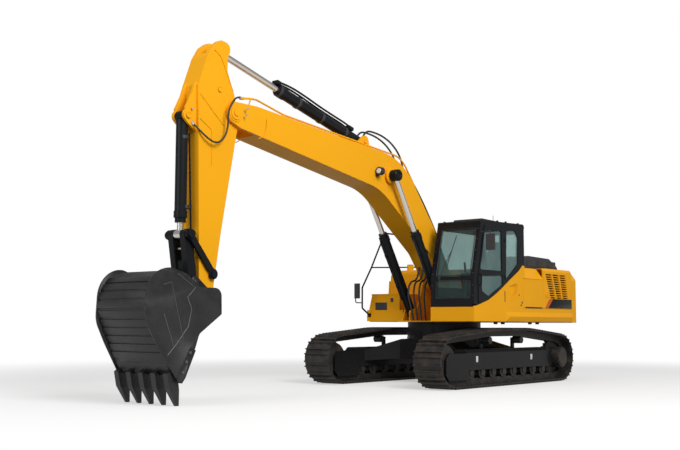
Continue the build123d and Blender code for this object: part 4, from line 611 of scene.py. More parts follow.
class Bench:
    """Makes pieces with the modelling operators, dresses them and hangs them on a body."""

    def __init__(self, shop: Workshop) -> None:
        """Takes the finishes' workshop."""
        self.shop = shop
        self.count = 0

    @staticmethod
    def clear() -> None:
        """Leaves nothing selected."""
        bpy.ops.object.select_all(action="DESELECT")

    @staticmethod
    def take(thing: bpy.types.Object) -> None:
        """Selects one object alone."""
        Bench.clear()
        thing.select_set(True)
        bpy.context.view_layer.objects.active = thing

    def ship(self, thing: bpy.types.Object, name: str, body: str, finish: Finish) -> bpy.types.Object:
        """Names, places, smooths and dresses a piece, and makes it ride.

        Args:
            thing: the modelled object.
            name: its name.
            body: the body that carries it.
            finish: its finish.

        Returns:
            The piece.
        """
        self.take(thing)
        bpy.ops.object.transform_apply(location=True, rotation=True, scale=True)
        if thing.type == "MESH":
            bpy.ops.object.shade_smooth_by_angle(angle=math.radians(35.0))
        thing.name = name
        self.shop.dress(thing, finish)
        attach(thing, body)
        self.count += 1
        LOG.info("%s rides on %s", name, body)
        return thing

    def block(self, centre: Vector, form: Brick, degrees: float = 0.0) -> bpy.types.Object:
        """A block with rounded edges.

        Args:
            centre: its middle.
            form: its sizes.
            degrees: its turn upwards in the middle plane.

        Returns:
            The object.
        """
        self.clear()
        bpy.ops.mesh.primitive_cube_add(size=1.0, location=centre)
        thing = bpy.context.active_object
        thing.scale = form.size
        bpy.ops.object.transform_apply(location=False, rotation=False, scale=True)
        bpy.ops.object.mode_set(mode="EDIT")
        bpy.ops.mesh.select_all(action="SELECT")
        offset = min(form.bevel, min(form.size) * WIDEST_BEVEL)
        bpy.ops.mesh.bevel(offset=offset, segments=2, affect="EDGES")
        bpy.ops.object.mode_set(mode="OBJECT")
        thing.rotation_euler = (0.0, -math.radians(degrees), 0.0)
        return thing

    def disc(self, centre: Vector, axis: Vector, form: Round) -> bpy.types.Object:
        """A round piece.

        Args:
            centre: its middle.
            axis: the direction of its axis.
            form: its sizes.

        Returns:
            The object.
        """
        self.clear()
        bpy.ops.mesh.primitive_cylinder_add(vertices=form.sides, radius=form.radius, depth=form.depth,
                                            location=centre)
        thing = bpy.context.active_object
        bpy.ops.object.mode_set(mode="EDIT")
        bpy.ops.mesh.select_mode(type="FACE")
        bpy.ops.mesh.select_all(action="DESELECT")
        mesh = bmesh.from_edit_mesh(thing.data)
        for face in mesh.faces:
            face.select = abs(face.normal.z) > 0.9
        bmesh.update_edit_mesh(thing.data)
        if form.hole > 0.0:
            bpy.ops.mesh.inset(thickness=form.bevel, depth=form.bevel)
            bpy.ops.mesh.inset(thickness=form.radius - form.bevel - form.hole, depth=0.0)
            bpy.ops.mesh.bridge_edge_loops()
            bpy.ops.mesh.select_all(action="SELECT")
            bpy.ops.mesh.normals_make_consistent(inside=False)
        elif form.inset > 0.0:
            bpy.ops.mesh.inset(thickness=form.inset, depth=0.0)
            bpy.ops.mesh.inset(thickness=form.bevel, depth=-form.sink)
        else:
            offset = min(form.bevel, form.depth * WIDEST_RIM)
            bpy.ops.mesh.bevel(offset=offset, segments=2, affect="EDGES")
        bpy.ops.object.mode_set(mode="OBJECT")
        thing.rotation_euler = Vector(axis).to_track_quat("Z", "Y").to_euler()
        return thing

    def plate(self, corners: Sequence[Vector], thickness: Vector, bevel: float = 0.003) -> bpy.types.Object:
        """A flat plate with a given outline and rounded edges.

        Args:
            corners: its outline in order.
            thickness: the way and the distance that it is thickened.
            bevel: the roundness of its edges.

        Returns:
            The object.
        """
        self.clear()
        bpy.ops.mesh.primitive_circle_add(vertices=len(corners), radius=1.0, fill_type="NGON")
        thing = bpy.context.active_object
        for vertex, corner in zip(thing.data.vertices, corners):
            vertex.co = corner
        bpy.ops.object.mode_set(mode="EDIT")
        bpy.ops.mesh.select_all(action="SELECT")
        bpy.ops.mesh.extrude_region_move(TRANSFORM_OT_translate={"value": thickness})
        bpy.ops.mesh.select_all(action="SELECT")
        bpy.ops.mesh.normals_make_consistent(inside=False)
        if bevel > 0.0:
            offset = min(bevel, thickness.length * WIDEST_BEVEL)
            bpy.ops.mesh.bevel(offset=offset, segments=2, affect="EDGES")
        bpy.ops.object.mode_set(mode="OBJECT")
        return thing

    def line(self, points: Iterable[Vector], radius: float, mesh: bool = True,
             straight: bool = False) -> bpy.types.Object:
        """A round run along points: a hose, a pipe, a wire or a weld.

        Args:
            points: its route.
            radius: its radius.
            mesh: whether it is made a closed mesh.
            straight: whether it has corners at its points.

        Returns:
            The object.
        """
        curve = bpy.data.curves.new("run", "CURVE")
        curve.dimensions = "3D"
        curve.bevel_depth = radius
        curve.bevel_resolution = 3
        curve.resolution_u = 8
        curve.use_fill_caps = True
        spline = curve.splines.new("POLY" if straight else "NURBS")
        route = list(points)
        spline.points.add(len(route) - 1)
        for knot, place in zip(spline.points, route):
            knot.co = (*place, 1.0)
        if not straight:
            spline.order_u = 3
            spline.use_endpoint_u = True
        thing = bpy.data.objects.new("run", curve)
        bpy.context.scene.collection.objects.link(thing)
        if mesh:
            self.take(thing)
            bpy.ops.object.convert(target="MESH")
        return thing

    def join(self, things: Sequence[bpy.types.Object]) -> bpy.types.Object:
        """Makes several objects one, each with its place kept.

        Args:
            things: the objects.

        Returns:
            The first object, with the others in it.
        """
        self.clear()
        for thing in things:
            thing.select_set(True)
        bpy.context.view_layer.objects.active = things[0]
        bpy.ops.object.transform_apply(location=True, rotation=True, scale=True)
        bpy.ops.object.join()
        return things[0]

    def copies(self, model: bpy.types.Object, places: Sequence[Vector]) -> bpy.types.Object:
        """Makes one object of a model at several places, each copy with its own mesh.

        Args:
            model: the object that is copied, which stands at the first place.
            places: all the places, at least two.

        Returns:
            The object.
        """
        made = [model]
        for place in places[1:]:
            other = model.copy()
            other.data = model.data.copy()
            bpy.context.scene.collection.objects.link(other)
            other.location = place
            made.append(other)
        return self.join(made)

    def mirrored(self, thing: bpy.types.Object) -> bpy.types.Object:
        """Joins a piece with its mirror image on the machine's other side.

        Args:
            thing: the piece.

        Returns:
            Both as one object.
        """
        self.take(thing)
        bpy.ops.object.transform_apply(location=True, rotation=True, scale=True)
        other = thing.copy()
        other.data = thing.data.copy()
        bpy.context.scene.collection.objects.link(other)
        other.scale = (1.0, -1.0, 1.0)
        self.take(other)
        bpy.ops.object.transform_apply(location=True, rotation=True, scale=True)
        bpy.ops.object.mode_set(mode="EDIT")
        bpy.ops.mesh.select_all(action="SELECT")
        bpy.ops.mesh.normals_make_consistent(inside=False)
        bpy.ops.object.mode_set(mode="OBJECT")
        return self.join([thing, other])

    def hose(self, name: str, body: str, points: Sequence[Vector], diameter: float) -> bpy.types.Object:
        """A free hose between two fittings, measured along its own line.

        Args:
            name: its name.
            body: the body that carries it.
            points: its route.
            diameter: its thickness.

        Returns:
            The hose.
        """
        thing = self.line(points, diameter / 2, mesh=False)
        self.shop.dress(thing, Finish.HOSE)
        thing.name = name
        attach(thing, body)
        self.run_length(thing)
        LOG.info("%s rides on %s", name, body)
        return thing

    @staticmethod
    def run_length(thing: bpy.types.Object) -> float:
        """Measures a hose along its own line.

        Args:
            thing: the hose.

        Returns:
            Its length.
        """
        bare = thing.data.copy()
        bare.bevel_depth = 0.0
        other = bpy.data.objects.new("bare", bare)
        mesh = bpy.data.meshes.new_from_object(other)
        ends = [[mesh.vertices[index].co for index in edge.vertices] for edge in mesh.edges]
        total = sum((first - second).length for first, second in ends)
        bpy.data.objects.remove(other)
        return total


# ---------------------------------------------------------------- sub-assemblies
@dataclass
class BucketShell:
    """The bucket with wear strips across its back, welded side plates and bolted cutters.

    Its places are X and Z from the bucket's pin. The back is an arc from the first angle to the last one, and
    then a flat down to the lip.
    """

    pin: Pair = (6.714, 1.519)
    centre: Pair = (0.991, -0.104)
    radius: float = 0.507
    first: float = 52.0
    last: float = -32.0
    lip: Pair = (1.035, -1.085)
    flat: float = 0.62
    half: float = 0.645
    plate: float = 0.022
    taper: float = 4.7
    edge_head: Pair = (0.160, 0.170)
    edge_foot: Pair = (0.917, -1.178)
    doubles: float = 0.0001
    ridge: Pair = (0.0008, 0.03)
    ridge_half: float = 0.54
    sheet: float = 0.003
    sheet_ends: tuple[float, ...] = (0.0, 0.33, 0.66, 1.0)
    strip: float = 0.098
    strip_bevel: float = 0.002
    strip_steps: int = 4
    pitch: float = 0.132
    height: float = 0.014
    sunk: float = 0.0015
    weld_out: float = 0.0215
    edge_weld: tuple[Pair, ...] = ((0.962, 0.354), (0.65, 0.159), (0.792, 0.023), (0.722, -0.148),
                                   (0.785, -0.398), (0.992, -0.643), (1.15, -0.80))
    edge_weld_radius: float = 0.009
    ribs: tuple[tuple[Pair, ...], ...] = (((1.21, 0.19), (1.073, 0.231), (0.873, -0.575)),
                                          ((1.205, -0.22), (1.044, -0.677)))
    rib_radius: float = 0.006
    bolts: tuple[Pair, ...] = ((0.905, -1.045), (0.845, -0.9), (0.775, -0.77))
    bolt_out: float = 0.02
    bolt: Round = Round(0.026, 0.02, 0.003, 6)

    @property
    def arc(self) -> float:
        """The length of the back's round part."""
        return math.radians(self.first - self.last) * self.radius

    def flat_part(self) -> tuple[Vector, Vector, Vector]:
        """Finds the back's flat part.

        Returns:
            Where it starts, its direction down to the lip, and the direction off it.
        """
        low = math.radians(self.last)
        start = Vector((self.centre[0] + math.cos(low) * self.radius,
                        self.centre[1] + math.sin(low) * self.radius))
        run = (Vector(self.lip) - start).normalized()
        return start, run, Vector((-run.y, run.x))

    def back(self, along: float, out: float) -> Pair:
        """A place on the bucket's back.

        Args:
            along: the distance from the first strip's edge, over the back and down to the lip.
            out: how far it stands off the back.

        Returns:
            Its X and Z.
        """
        turn = math.radians(self.first) - min(along, self.arc) / self.radius
        x = self.centre[0] + math.cos(turn) * (self.radius + out)
        z = self.centre[1] + math.sin(turn) * (self.radius + out)
        if along > self.arc:
            start, run, off = self.flat_part()
            x, z = start + run * (along - self.arc) + off * out
        return self.pin[0] + x, self.pin[1] + z

    def width_at(self, x: float, z: float) -> float:
        """Half the room between the side plates at a place on the back.

        Args:
            x: the place's X.
            z: the place's Z.

        Returns:
            The half width, less with the distance from the side plates' front edge.
        """
        head, foot = Vector(self.edge_head), Vector(self.edge_foot)
        run = (foot - head).normalized()
        arm = Vector((x - self.pin[0], z - self.pin[1])) - head
        distance = abs(arm.x * run.y - arm.y * run.x)
        return self.half - self.plate - distance * math.tan(math.radians(self.taper))

    def strip_piece(self, bench: Bench, start: float, stop: float, low: float,
                    high: float) -> bpy.types.Object:
        """One strip across the back.

        Args:
            bench: the modelling bench.
            start: the distance along the back at which it starts.
            stop: the distance at which it ends.
            low: how far its inner face stands off the back.
            high: how far its outer face does.

        Returns:
            The strip.
        """
        steps = [start + (stop - start) * i / self.strip_steps for i in range(self.strip_steps + 1)]
        ring = [self.back(step, high) for step in steps] + [self.back(step, low) for step in reversed(steps)]
        half = self.width_at(*self.back((start + stop) / 2, 0.0))
        return bench.plate([Vector((x, -half, z)) for x, z in ring], Vector((0.0, 2 * half, 0.0)),
                           self.strip_bevel)

    def shell(self, bench: Bench, node: bpy.types.Object) -> bpy.types.Object:
        """The bent sheet and side plates, with the lengthwise ridges taken off.

        Args:
            bench: the modelling bench.
            node: the carried-over bucket, which is left as it is.

        Returns:
            The shell, a changed copy of the node.
        """
        thing = bpy.data.objects.new("bucket_shell", node.data.copy())
        bpy.context.scene.collection.objects.link(thing)
        bench.take(thing)
        bpy.ops.object.mode_set(mode="EDIT")
        bpy.ops.mesh.select_all(action="SELECT")
        bpy.ops.mesh.remove_doubles(threshold=self.doubles)
        bpy.ops.mesh.select_mode(type="FACE")
        bpy.ops.mesh.select_all(action="DESELECT")
        mesh = bmesh.from_edit_mesh(thing.data)
        start, _, off = self.flat_part()
        for face in mesh.faces:
            middle = face.calc_center_median()
            spot = Vector((middle.x - self.pin[0], middle.z - self.pin[1]))
            arm = spot - Vector(self.centre)
            on_arc = math.atan2(arm.y, arm.x) > math.radians(self.last)
            out = arm.length - self.radius if on_arc else (spot - start).dot(off)
            on_back = abs(middle.y) < self.ridge_half and spot.y < 0.0
            face.select = on_back and self.ridge[0] < out < self.ridge[1]
        bmesh.update_edit_mesh(thing.data)
        bpy.ops.mesh.delete(type="FACE")
        bpy.ops.mesh.select_mode(type="EDGE")
        bpy.ops.mesh.select_all(action="DESELECT")
        bpy.ops.mesh.select_non_manifold()
        bpy.ops.mesh.fill_holes(sides=0)
        bpy.ops.object.mode_set(mode="OBJECT")
        return thing

    def side_marks(self, bench: Bench) -> list[bpy.types.Object]:
        """The wear plate's welded edge and the ribs on the outside of the left side plate.

        Args:
            bench: the modelling bench.

        Returns:
            Each run as an object.
        """
        made = []
        runs = [(self.edge_weld, self.edge_weld_radius), *((rib, self.rib_radius) for rib in self.ribs)]
        for run, radius in runs:
            places = [(self.pin[0] + x, self.pin[1] + z) for x, z in run]
            ring = [Vector((x, self.width_at(x, z) + self.weld_out, z)) for x, z in places]
            made.append(bench.line(ring, radius, straight=True))
        return made

    def cutter_bolts(self, bench: Bench) -> bpy.types.Object:
        """The bolts of the left side cutter."""
        y = self.half + self.bolt_out
        places = [Vector((self.pin[0] + x, y, self.pin[1] + z)) for x, z in self.bolts]
        return bench.copies(bench.disc(places[0], LEFT, self.bolt), places)

    def build(self, bench: Bench, frame: dict) -> None:
        """Makes the bucket's shell, strips, welds and bolts.

        Args:
            bench: the modelling bench.
        """
        ends = [self.arc * share for share in self.sheet_ends] + [self.arc + self.flat]
        parts = [self.shell(bench, frame["nodes"]["bucket"])]
        for start, stop in zip(ends, ends[1:]):
            parts.append(self.strip_piece(bench, start, stop, 0.0, self.sheet))
        for i in range(int(ends[-1] / self.pitch)):
            start = i * self.pitch
            parts.append(self.strip_piece(bench, start, start + self.strip, self.sunk, self.height))
        piece = bench.ship(bench.join(parts), "bucket_shell", "bucket", Finish.BUCKET)
        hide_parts("bucket")
        welds = bench.mirrored(bench.join(self.side_marks(bench)))
        bench.ship(welds, "bucket_side_welds", "bucket", Finish.BUCKET_EDGE)
        bench.ship(bench.mirrored(self.cutter_bolts(bench)), "cutter_bolts", "bucket", Finish.BUCKET_EDGE)


@dataclass
class BoomDress:
    """The hub collars, pin caps, rod eye sleeves, keeper bolts, weld seams and lamp lens of the boom.

    The keepers, the seam and the lamp are given along and across the boom's line.
    """

    hub: Pair = (2.207, 3.945)
    half: float = 0.285
    tip_half: float = 0.31
    proud: float = 0.012
    cap_y: float = 0.475
    cap: Round = Round(0.088, 0.05, 0.012, inset=0.03, sink=0.012)
    collar: Round = Round(0.15, 0.03, 0.01, 40)
    keepers: tuple[Pair, ...] = ((6.424, 0.151), (6.397, 0.046))
    keeper: Round = Round(0.022, 0.022, 0.003, 6)
    seam: tuple[Pair, ...] = ((5.93, 0.27), (5.80, 0.02), (5.97, -0.13))
    seam_y: float = 0.2655
    seam_radius: float = 0.007
    eye_y: float = 0.41
    eye: Round = Round(0.110, 0.146, 0.012, 40, hole=0.066)
    lamp: Pair = (3.0, 0.93)
    lamp_y: float = 0.345
    lens_out: float = 0.047
    lens: Round = Round(0.062, 0.012, 0.004, inset=0.01, sink=-0.006)
    rim_out: float = 0.046
    rim: Round = Round(0.076, 0.014, 0.004)

    def build(self, bench: Bench) -> None:
        """Makes the boom's small parts.

        Args:
            bench: the modelling bench.
        """
        hub = middle_plane(self.hub)
        cap = bench.disc(hub + LEFT * self.cap_y, LEFT, self.cap)
        bench.ship(bench.mirrored(cap), "boom_cylinder_pin_caps", "boom", Finish.BLACK)
        collar = bench.disc(hub + LEFT * (self.half + self.proud), LEFT, self.collar)
        bench.ship(bench.mirrored(collar), "boom_hub_collars", "boom", Finish.YELLOW)
        places = [BOOM.at(along, across, self.tip_half + self.proud) for along, across in self.keepers]
        keepers = bench.copies(bench.disc(places[0], LEFT, self.keeper), places)
        bench.ship(bench.mirrored(keepers), "tip_keeper_bolts", "boom", Finish.BRIGHT)
        seam = bench.line([BOOM.at(a, b, self.seam_y) for a, b in self.seam], self.seam_radius)
        bench.ship(bench.mirrored(seam), "boom_seams", "boom", Finish.YELLOW)
        eye = bench.disc(hub + LEFT * self.eye_y, LEFT, self.eye)
        bench.ship(bench.mirrored(eye), "rod_eye_sleeves", "boom_rods", Finish.BLACK)
        lamp = BOOM.at(*self.lamp)
        lens = bench.disc(Vector((lamp.x + self.lens_out, self.lamp_y, lamp.z)), FORWARD, self.lens)
        bench.ship(lens, "boom_lamp_lens", "boom", Finish.LENS)
        rim = bench.disc(Vector((lamp.x + self.rim_out, self.lamp_y, lamp.z)), FORWARD, self.rim)
        bench.ship(rim, "boom_lamp_rim", "boom", Finish.PLASTIC)


@dataclass
class ArmDress:
    """The weld seams, bosses, keeper bolts and pin caps of the arm.

    Its places are along and across the arm's line, and then sideways.
    """

    half: float = 0.19
    seams: tuple[tuple[Pair, ...], ...] = (
        ((-0.641, 0.667), (-0.867, 0.552), (-0.80, 0.401), (-0.346, 0.056)),
        ((-0.081, 0.722), (0.261, 0.16)),
        ((0.30, 0.66), (0.40, 0.40), (0.95, 0.30)))
    seam_radius: float = 0.0045
    boss_at: Pair = (-0.289, 0.337)
    boss: Round = Round(0.05, 0.03, 0.006, inset=0.018, sink=0.006)
    keeper_at: Point = (0.189, 0.810, 0.165)
    keeper: Round = Round(0.02, 0.02, 0.003, 6)
    pin_at: Point = (0.302, 0.855, 0.155)
    pin: Round = Round(0.05, 0.02, 0.005, inset=0.02, sink=0.006)

    def build(self, bench: Bench) -> None:
        """Makes the arm's small parts.

        Args:
            bench: the modelling bench.
        """
        seams = [bench.line([ARM.at(a, b, self.half) for a, b in run], self.seam_radius, straight=True)
                 for run in self.seams]
        bench.ship(bench.mirrored(bench.join(seams)), "arm_seams", "arm", Finish.YELLOW)
        boss = bench.disc(ARM.at(*self.boss_at, self.half), LEFT, self.boss)
        bench.ship(bench.mirrored(boss), "arm_bosses", "arm", Finish.YELLOW)
        keeper = bench.disc(ARM.at(*self.keeper_at), LEFT, self.keeper)
        bench.ship(bench.mirrored(keeper), "ear_keeper_bolts", "arm", Finish.BRIGHT)
        pin = bench.disc(ARM.at(*self.pin_at), LEFT, self.pin)
        bench.ship(bench.mirrored(pin), "ear_pin_caps", "arm", Finish.YELLOW)


@dataclass
class CylinderDress:
    """The pipes and bands of the hydraulic cylinders.

    A cylinder's ends are X and Z, apart from the foot of the bucket's, which is along and across the arm's
    line. Bands and pipes lie at parts of the way from foot to head.
    """

    wall: float = 0.016
    band_sides: int = 40
    band_width: float = 0.045
    band_bevel: float = 0.008
    arm_foot: Pair = (2.825, 4.536)
    arm_head: Pair = (6.444, 5.488)
    arm_slope: float = 14.8
    arm_bands: tuple[float, ...] = (0.12, 0.30, 0.47, 0.60)
    arm_band_radius: float = 0.108
    feed: tuple[Pair, ...] = ((5.02, 5.24), (4.781, 5.225), (4.35, 5.115), (3.995, 5.005), (3.60, 4.90),
                              (3.237, 4.812), (3.14, 4.77))
    feed_radius: float = 0.018
    feed_rows: Pair = (0.045, -0.045)
    port_at: Point = (3.12, 0.0, 4.745)
    port: Brick = Brick((0.14, 0.16, 0.07), 0.012)
    head_port_at: Point = (5.05, 0.0, 5.232)
    head_port: Brick = Brick((0.10, 0.14, 0.07), 0.012)
    bucket_foot: Pair = (0.302, 0.855)
    bucket_head: Pair = (7.029, 1.783)
    bucket_bands: tuple[float, ...] = (0.13, 0.55)
    bucket_band_radius: float = 0.101
    ring_part: float = 0.80
    ring_radius: float = 0.0965
    ring_width: float = 0.02
    ring_bevel: float = 0.004
    bucket_pipe: tuple[float, ...] = (0.10, 0.2, 0.5, 0.78)
    bucket_pipe_off: Point = (-0.105, 0.035, 0.0)
    boom_foot: Pair = (0.59, 1.37)
    boom_head: Pair = (2.207, 3.945)
    boom_y: float = 0.41
    boom_bands: tuple[float, ...] = (0.22, 0.45)
    boom_band_radius: float = 0.096
    boom_pipe: tuple[float, ...] = (0.13, 0.2, 0.5, 0.57)
    boom_pipe_off: Point = (0.10, 0.0, -0.062)
    pipe_radius: float = 0.014

    def bands(self, bench: Bench, foot: Vector, head: Vector, parts: Sequence[float],
              form: Round) -> bpy.types.Object:
        """Bands round a barrel.

        Args:
            bench: the modelling bench.
            foot: the barrel's foot.
            head: the rod's eye.
            parts: how much of the way from foot to head each band stands.
            form: a band's sizes.

        Returns:
            The bands as one object.
        """
        places = [foot.lerp(head, part) for part in parts]
        return bench.copies(bench.disc(places[0], head - foot, form), places)

    def band_form(self, radius: float) -> Round:
        """The sizes of a plain band of a radius."""
        return Round(radius, self.band_width, self.band_bevel, self.band_sides, hole=radius - self.wall)

    def arm_cylinder(self, bench: Bench) -> None:
        """The bands, the feed pipes and the port blocks of the arm's cylinder.

        Args:
            bench: the modelling bench.
        """
        foot, head = middle_plane(self.arm_foot), middle_plane(self.arm_head)
        bands = self.bands(bench, foot, head, self.arm_bands, self.band_form(self.arm_band_radius))
        bench.ship(bands, "arm_barrel_bands", "arm_barrel", Finish.PLASTIC)
        feeds = [bench.line([Vector((x, y, z)) for x, z in self.feed], self.feed_radius)
                 for y in self.feed_rows]
        port = bench.block(Vector(self.port_at), self.port, self.arm_slope)
        head_port = bench.block(Vector(self.head_port_at), self.head_port, self.arm_slope)
        bench.ship(bench.join(feeds + [port, head_port]), "arm_barrel_pipes", "arm_barrel", Finish.BLACK)

    def bucket_cylinder(self, bench: Bench) -> None:
        """The bands of the bucket's cylinder, with the pale ring at its gland and the pipe along it.

        Args:
            bench: the modelling bench.
        """
        foot, head = ARM.at(*self.bucket_foot), middle_plane(self.bucket_head)
        bands = self.bands(bench, foot, head, self.bucket_bands, self.band_form(self.bucket_band_radius))
        bench.ship(bands, "bucket_barrel_bands", "bucket_barrel", Finish.PLASTIC)
        form = Round(self.ring_radius, self.ring_width, self.ring_bevel, self.band_sides,
                     hole=self.ring_radius - self.wall)
        ring = bench.disc(foot.lerp(head, self.ring_part), head - foot, form)
        bench.ship(ring, "bucket_barrel_ring", "bucket_barrel", Finish.BRIGHT)
        route = [foot.lerp(head, part) + Vector(self.bucket_pipe_off) for part in self.bucket_pipe]
        bench.ship(bench.line(route, self.pipe_radius), "bucket_barrel_pipe", "bucket_barrel", Finish.BLACK)

    def boom_cylinders(self, bench: Bench) -> None:
        """The bands and the port pipe of each boom cylinder.

        Args:
            bench: the modelling bench.
        """
        for name, y in (("left", self.boom_y), ("right", -self.boom_y)):
            foot, head = middle_plane(self.boom_foot) + LEFT * y, middle_plane(self.boom_head) + LEFT * y
            bands = self.bands(bench, foot, head, self.boom_bands, self.band_form(self.boom_band_radius))
            route = [foot.lerp(head, part) + Vector(self.boom_pipe_off) for part in self.boom_pipe]
            piece = bench.join([bands, bench.line(route, self.pipe_radius)])
            bench.ship(piece, f"boom_barrel_bands_{name}", "boom_barrels", Finish.BLACK)


@dataclass
class Hoses:
    """The hydraulic hoses that are free between two fittings, with the nuts of the arm's.

    A run's rows are X, the share of the hose's distance from the middle plane, and Z.
    """

    thick: float = 0.036
    thin: float = 0.030
    deck_rows: tuple[float, ...] = (0.15, 0.05, -0.05, -0.15)
    deck_run: tuple[Point, ...] = (
        (0.875, 1.0, 1.243), (0.90, 1.0, 1.42), (1.00, 1.3, 1.75), (0.92, 1.3, 2.02), (0.72, 1.0, 2.03))
    deck_head: Pair = (0.66, 1.4)
    arm_cylinder_rows: tuple[float, ...] = (0.075, -0.075)
    arm_cylinder_run: tuple[Point, ...] = ((2.79, 1.0, 4.625), (2.70, 1.0, 4.76), (2.46, 1.0, 4.77),
                                           (2.15, 1.0, 4.73), (1.86, 1.0, 4.62), (1.62, 1.0, 4.43),
                                           (1.51, 1.0, 4.18), (1.44, 1.0, 3.945))
    foot_start_x: float = 1.335
    foot_rows: tuple[Pair, ...] = ((0.215, 3.865), (0.13, 3.815), (-0.13, 3.815), (-0.215, 3.865))
    foot_run: tuple[Point, ...] = ((1.24, 1.0, 3.77), (1.02, 1.0, 3.53), (0.80, 1.0, 3.26), (0.58, 1.0, 2.96),
                                   (0.44, 1.0, 2.75), (0.38, 1.0, 2.60))
    joint_rows: tuple[float, ...] = (0.17, -0.17)
    joint_run: tuple[Point, ...] = (
        (7.06, 0.85, 4.21), (6.98, 1.3, 4.10), (6.84, 1.5, 3.99), (6.68, 1.6, 3.93), (6.52, 1.6, 4.02),
        (6.43, 1.6, 4.22), (6.47, 1.8, 4.46), (6.36, 1.85, 4.66), (6.22, 1.5, 4.75), (6.12, 1.27, 4.757))
    nut: Round = Round(0.026, 0.07, 0.006, 6)

    @staticmethod
    def route(run: Sequence[Point], y: float) -> list[Vector]:
        """The places of a hose that runs at a distance from the middle plane."""
        return [Vector((x, y * share, z)) for x, share, z in run]

    def joint_hose(self, bench: Bench, number: int, y: float) -> None:
        """Makes one hose past the arm's joint, with a nut at each end.

        Args:
            bench: the modelling bench.
            number: its number.
            y: its distance from the middle plane.
        """
        run = self.route(self.joint_run, y)
        bench.hose(f"arm_joint_hose_{number}", "arm", run, self.thin)
        nuts = [bench.disc(run[-1], run[-1] - run[-2], self.nut),
                bench.disc(run[0], run[1] - run[0], self.nut)]
        bench.ship(bench.join(nuts), f"arm_joint_nuts_{number}", "arm", Finish.BRIGHT)

    def build(self, bench: Bench, frame: dict) -> None:
        """Makes every hose.

        Args:
            bench: the modelling bench.
            The deck's hoses end on the underside of its boom.
        """
        for index, y in enumerate(self.deck_rows):
            x, z = self.deck_head
            end = frame["nodes"]["boom"].ray_cast(Vector((x, y, z)), UP)[1]
            bench.hose(f"deck_hose_{index + 1}", "upper", [*self.route(self.deck_run, y), end], self.thick)
        for index, y in enumerate(self.arm_cylinder_rows):
            run = self.route(self.arm_cylinder_run, y)
            bench.hose(f"arm_cylinder_hose_{index + 1}", "boom", run, self.thick)
        for index, (y, top) in enumerate(self.foot_rows):
            run = [Vector((self.foot_start_x, y, top)), *self.route(self.foot_run, y)]
            bench.hose(f"boom_foot_hose_{index + 1}", "boom", run, self.thin)
        for index, y in enumerate(self.joint_rows):
            self.joint_hose(bench, index + 1, y)


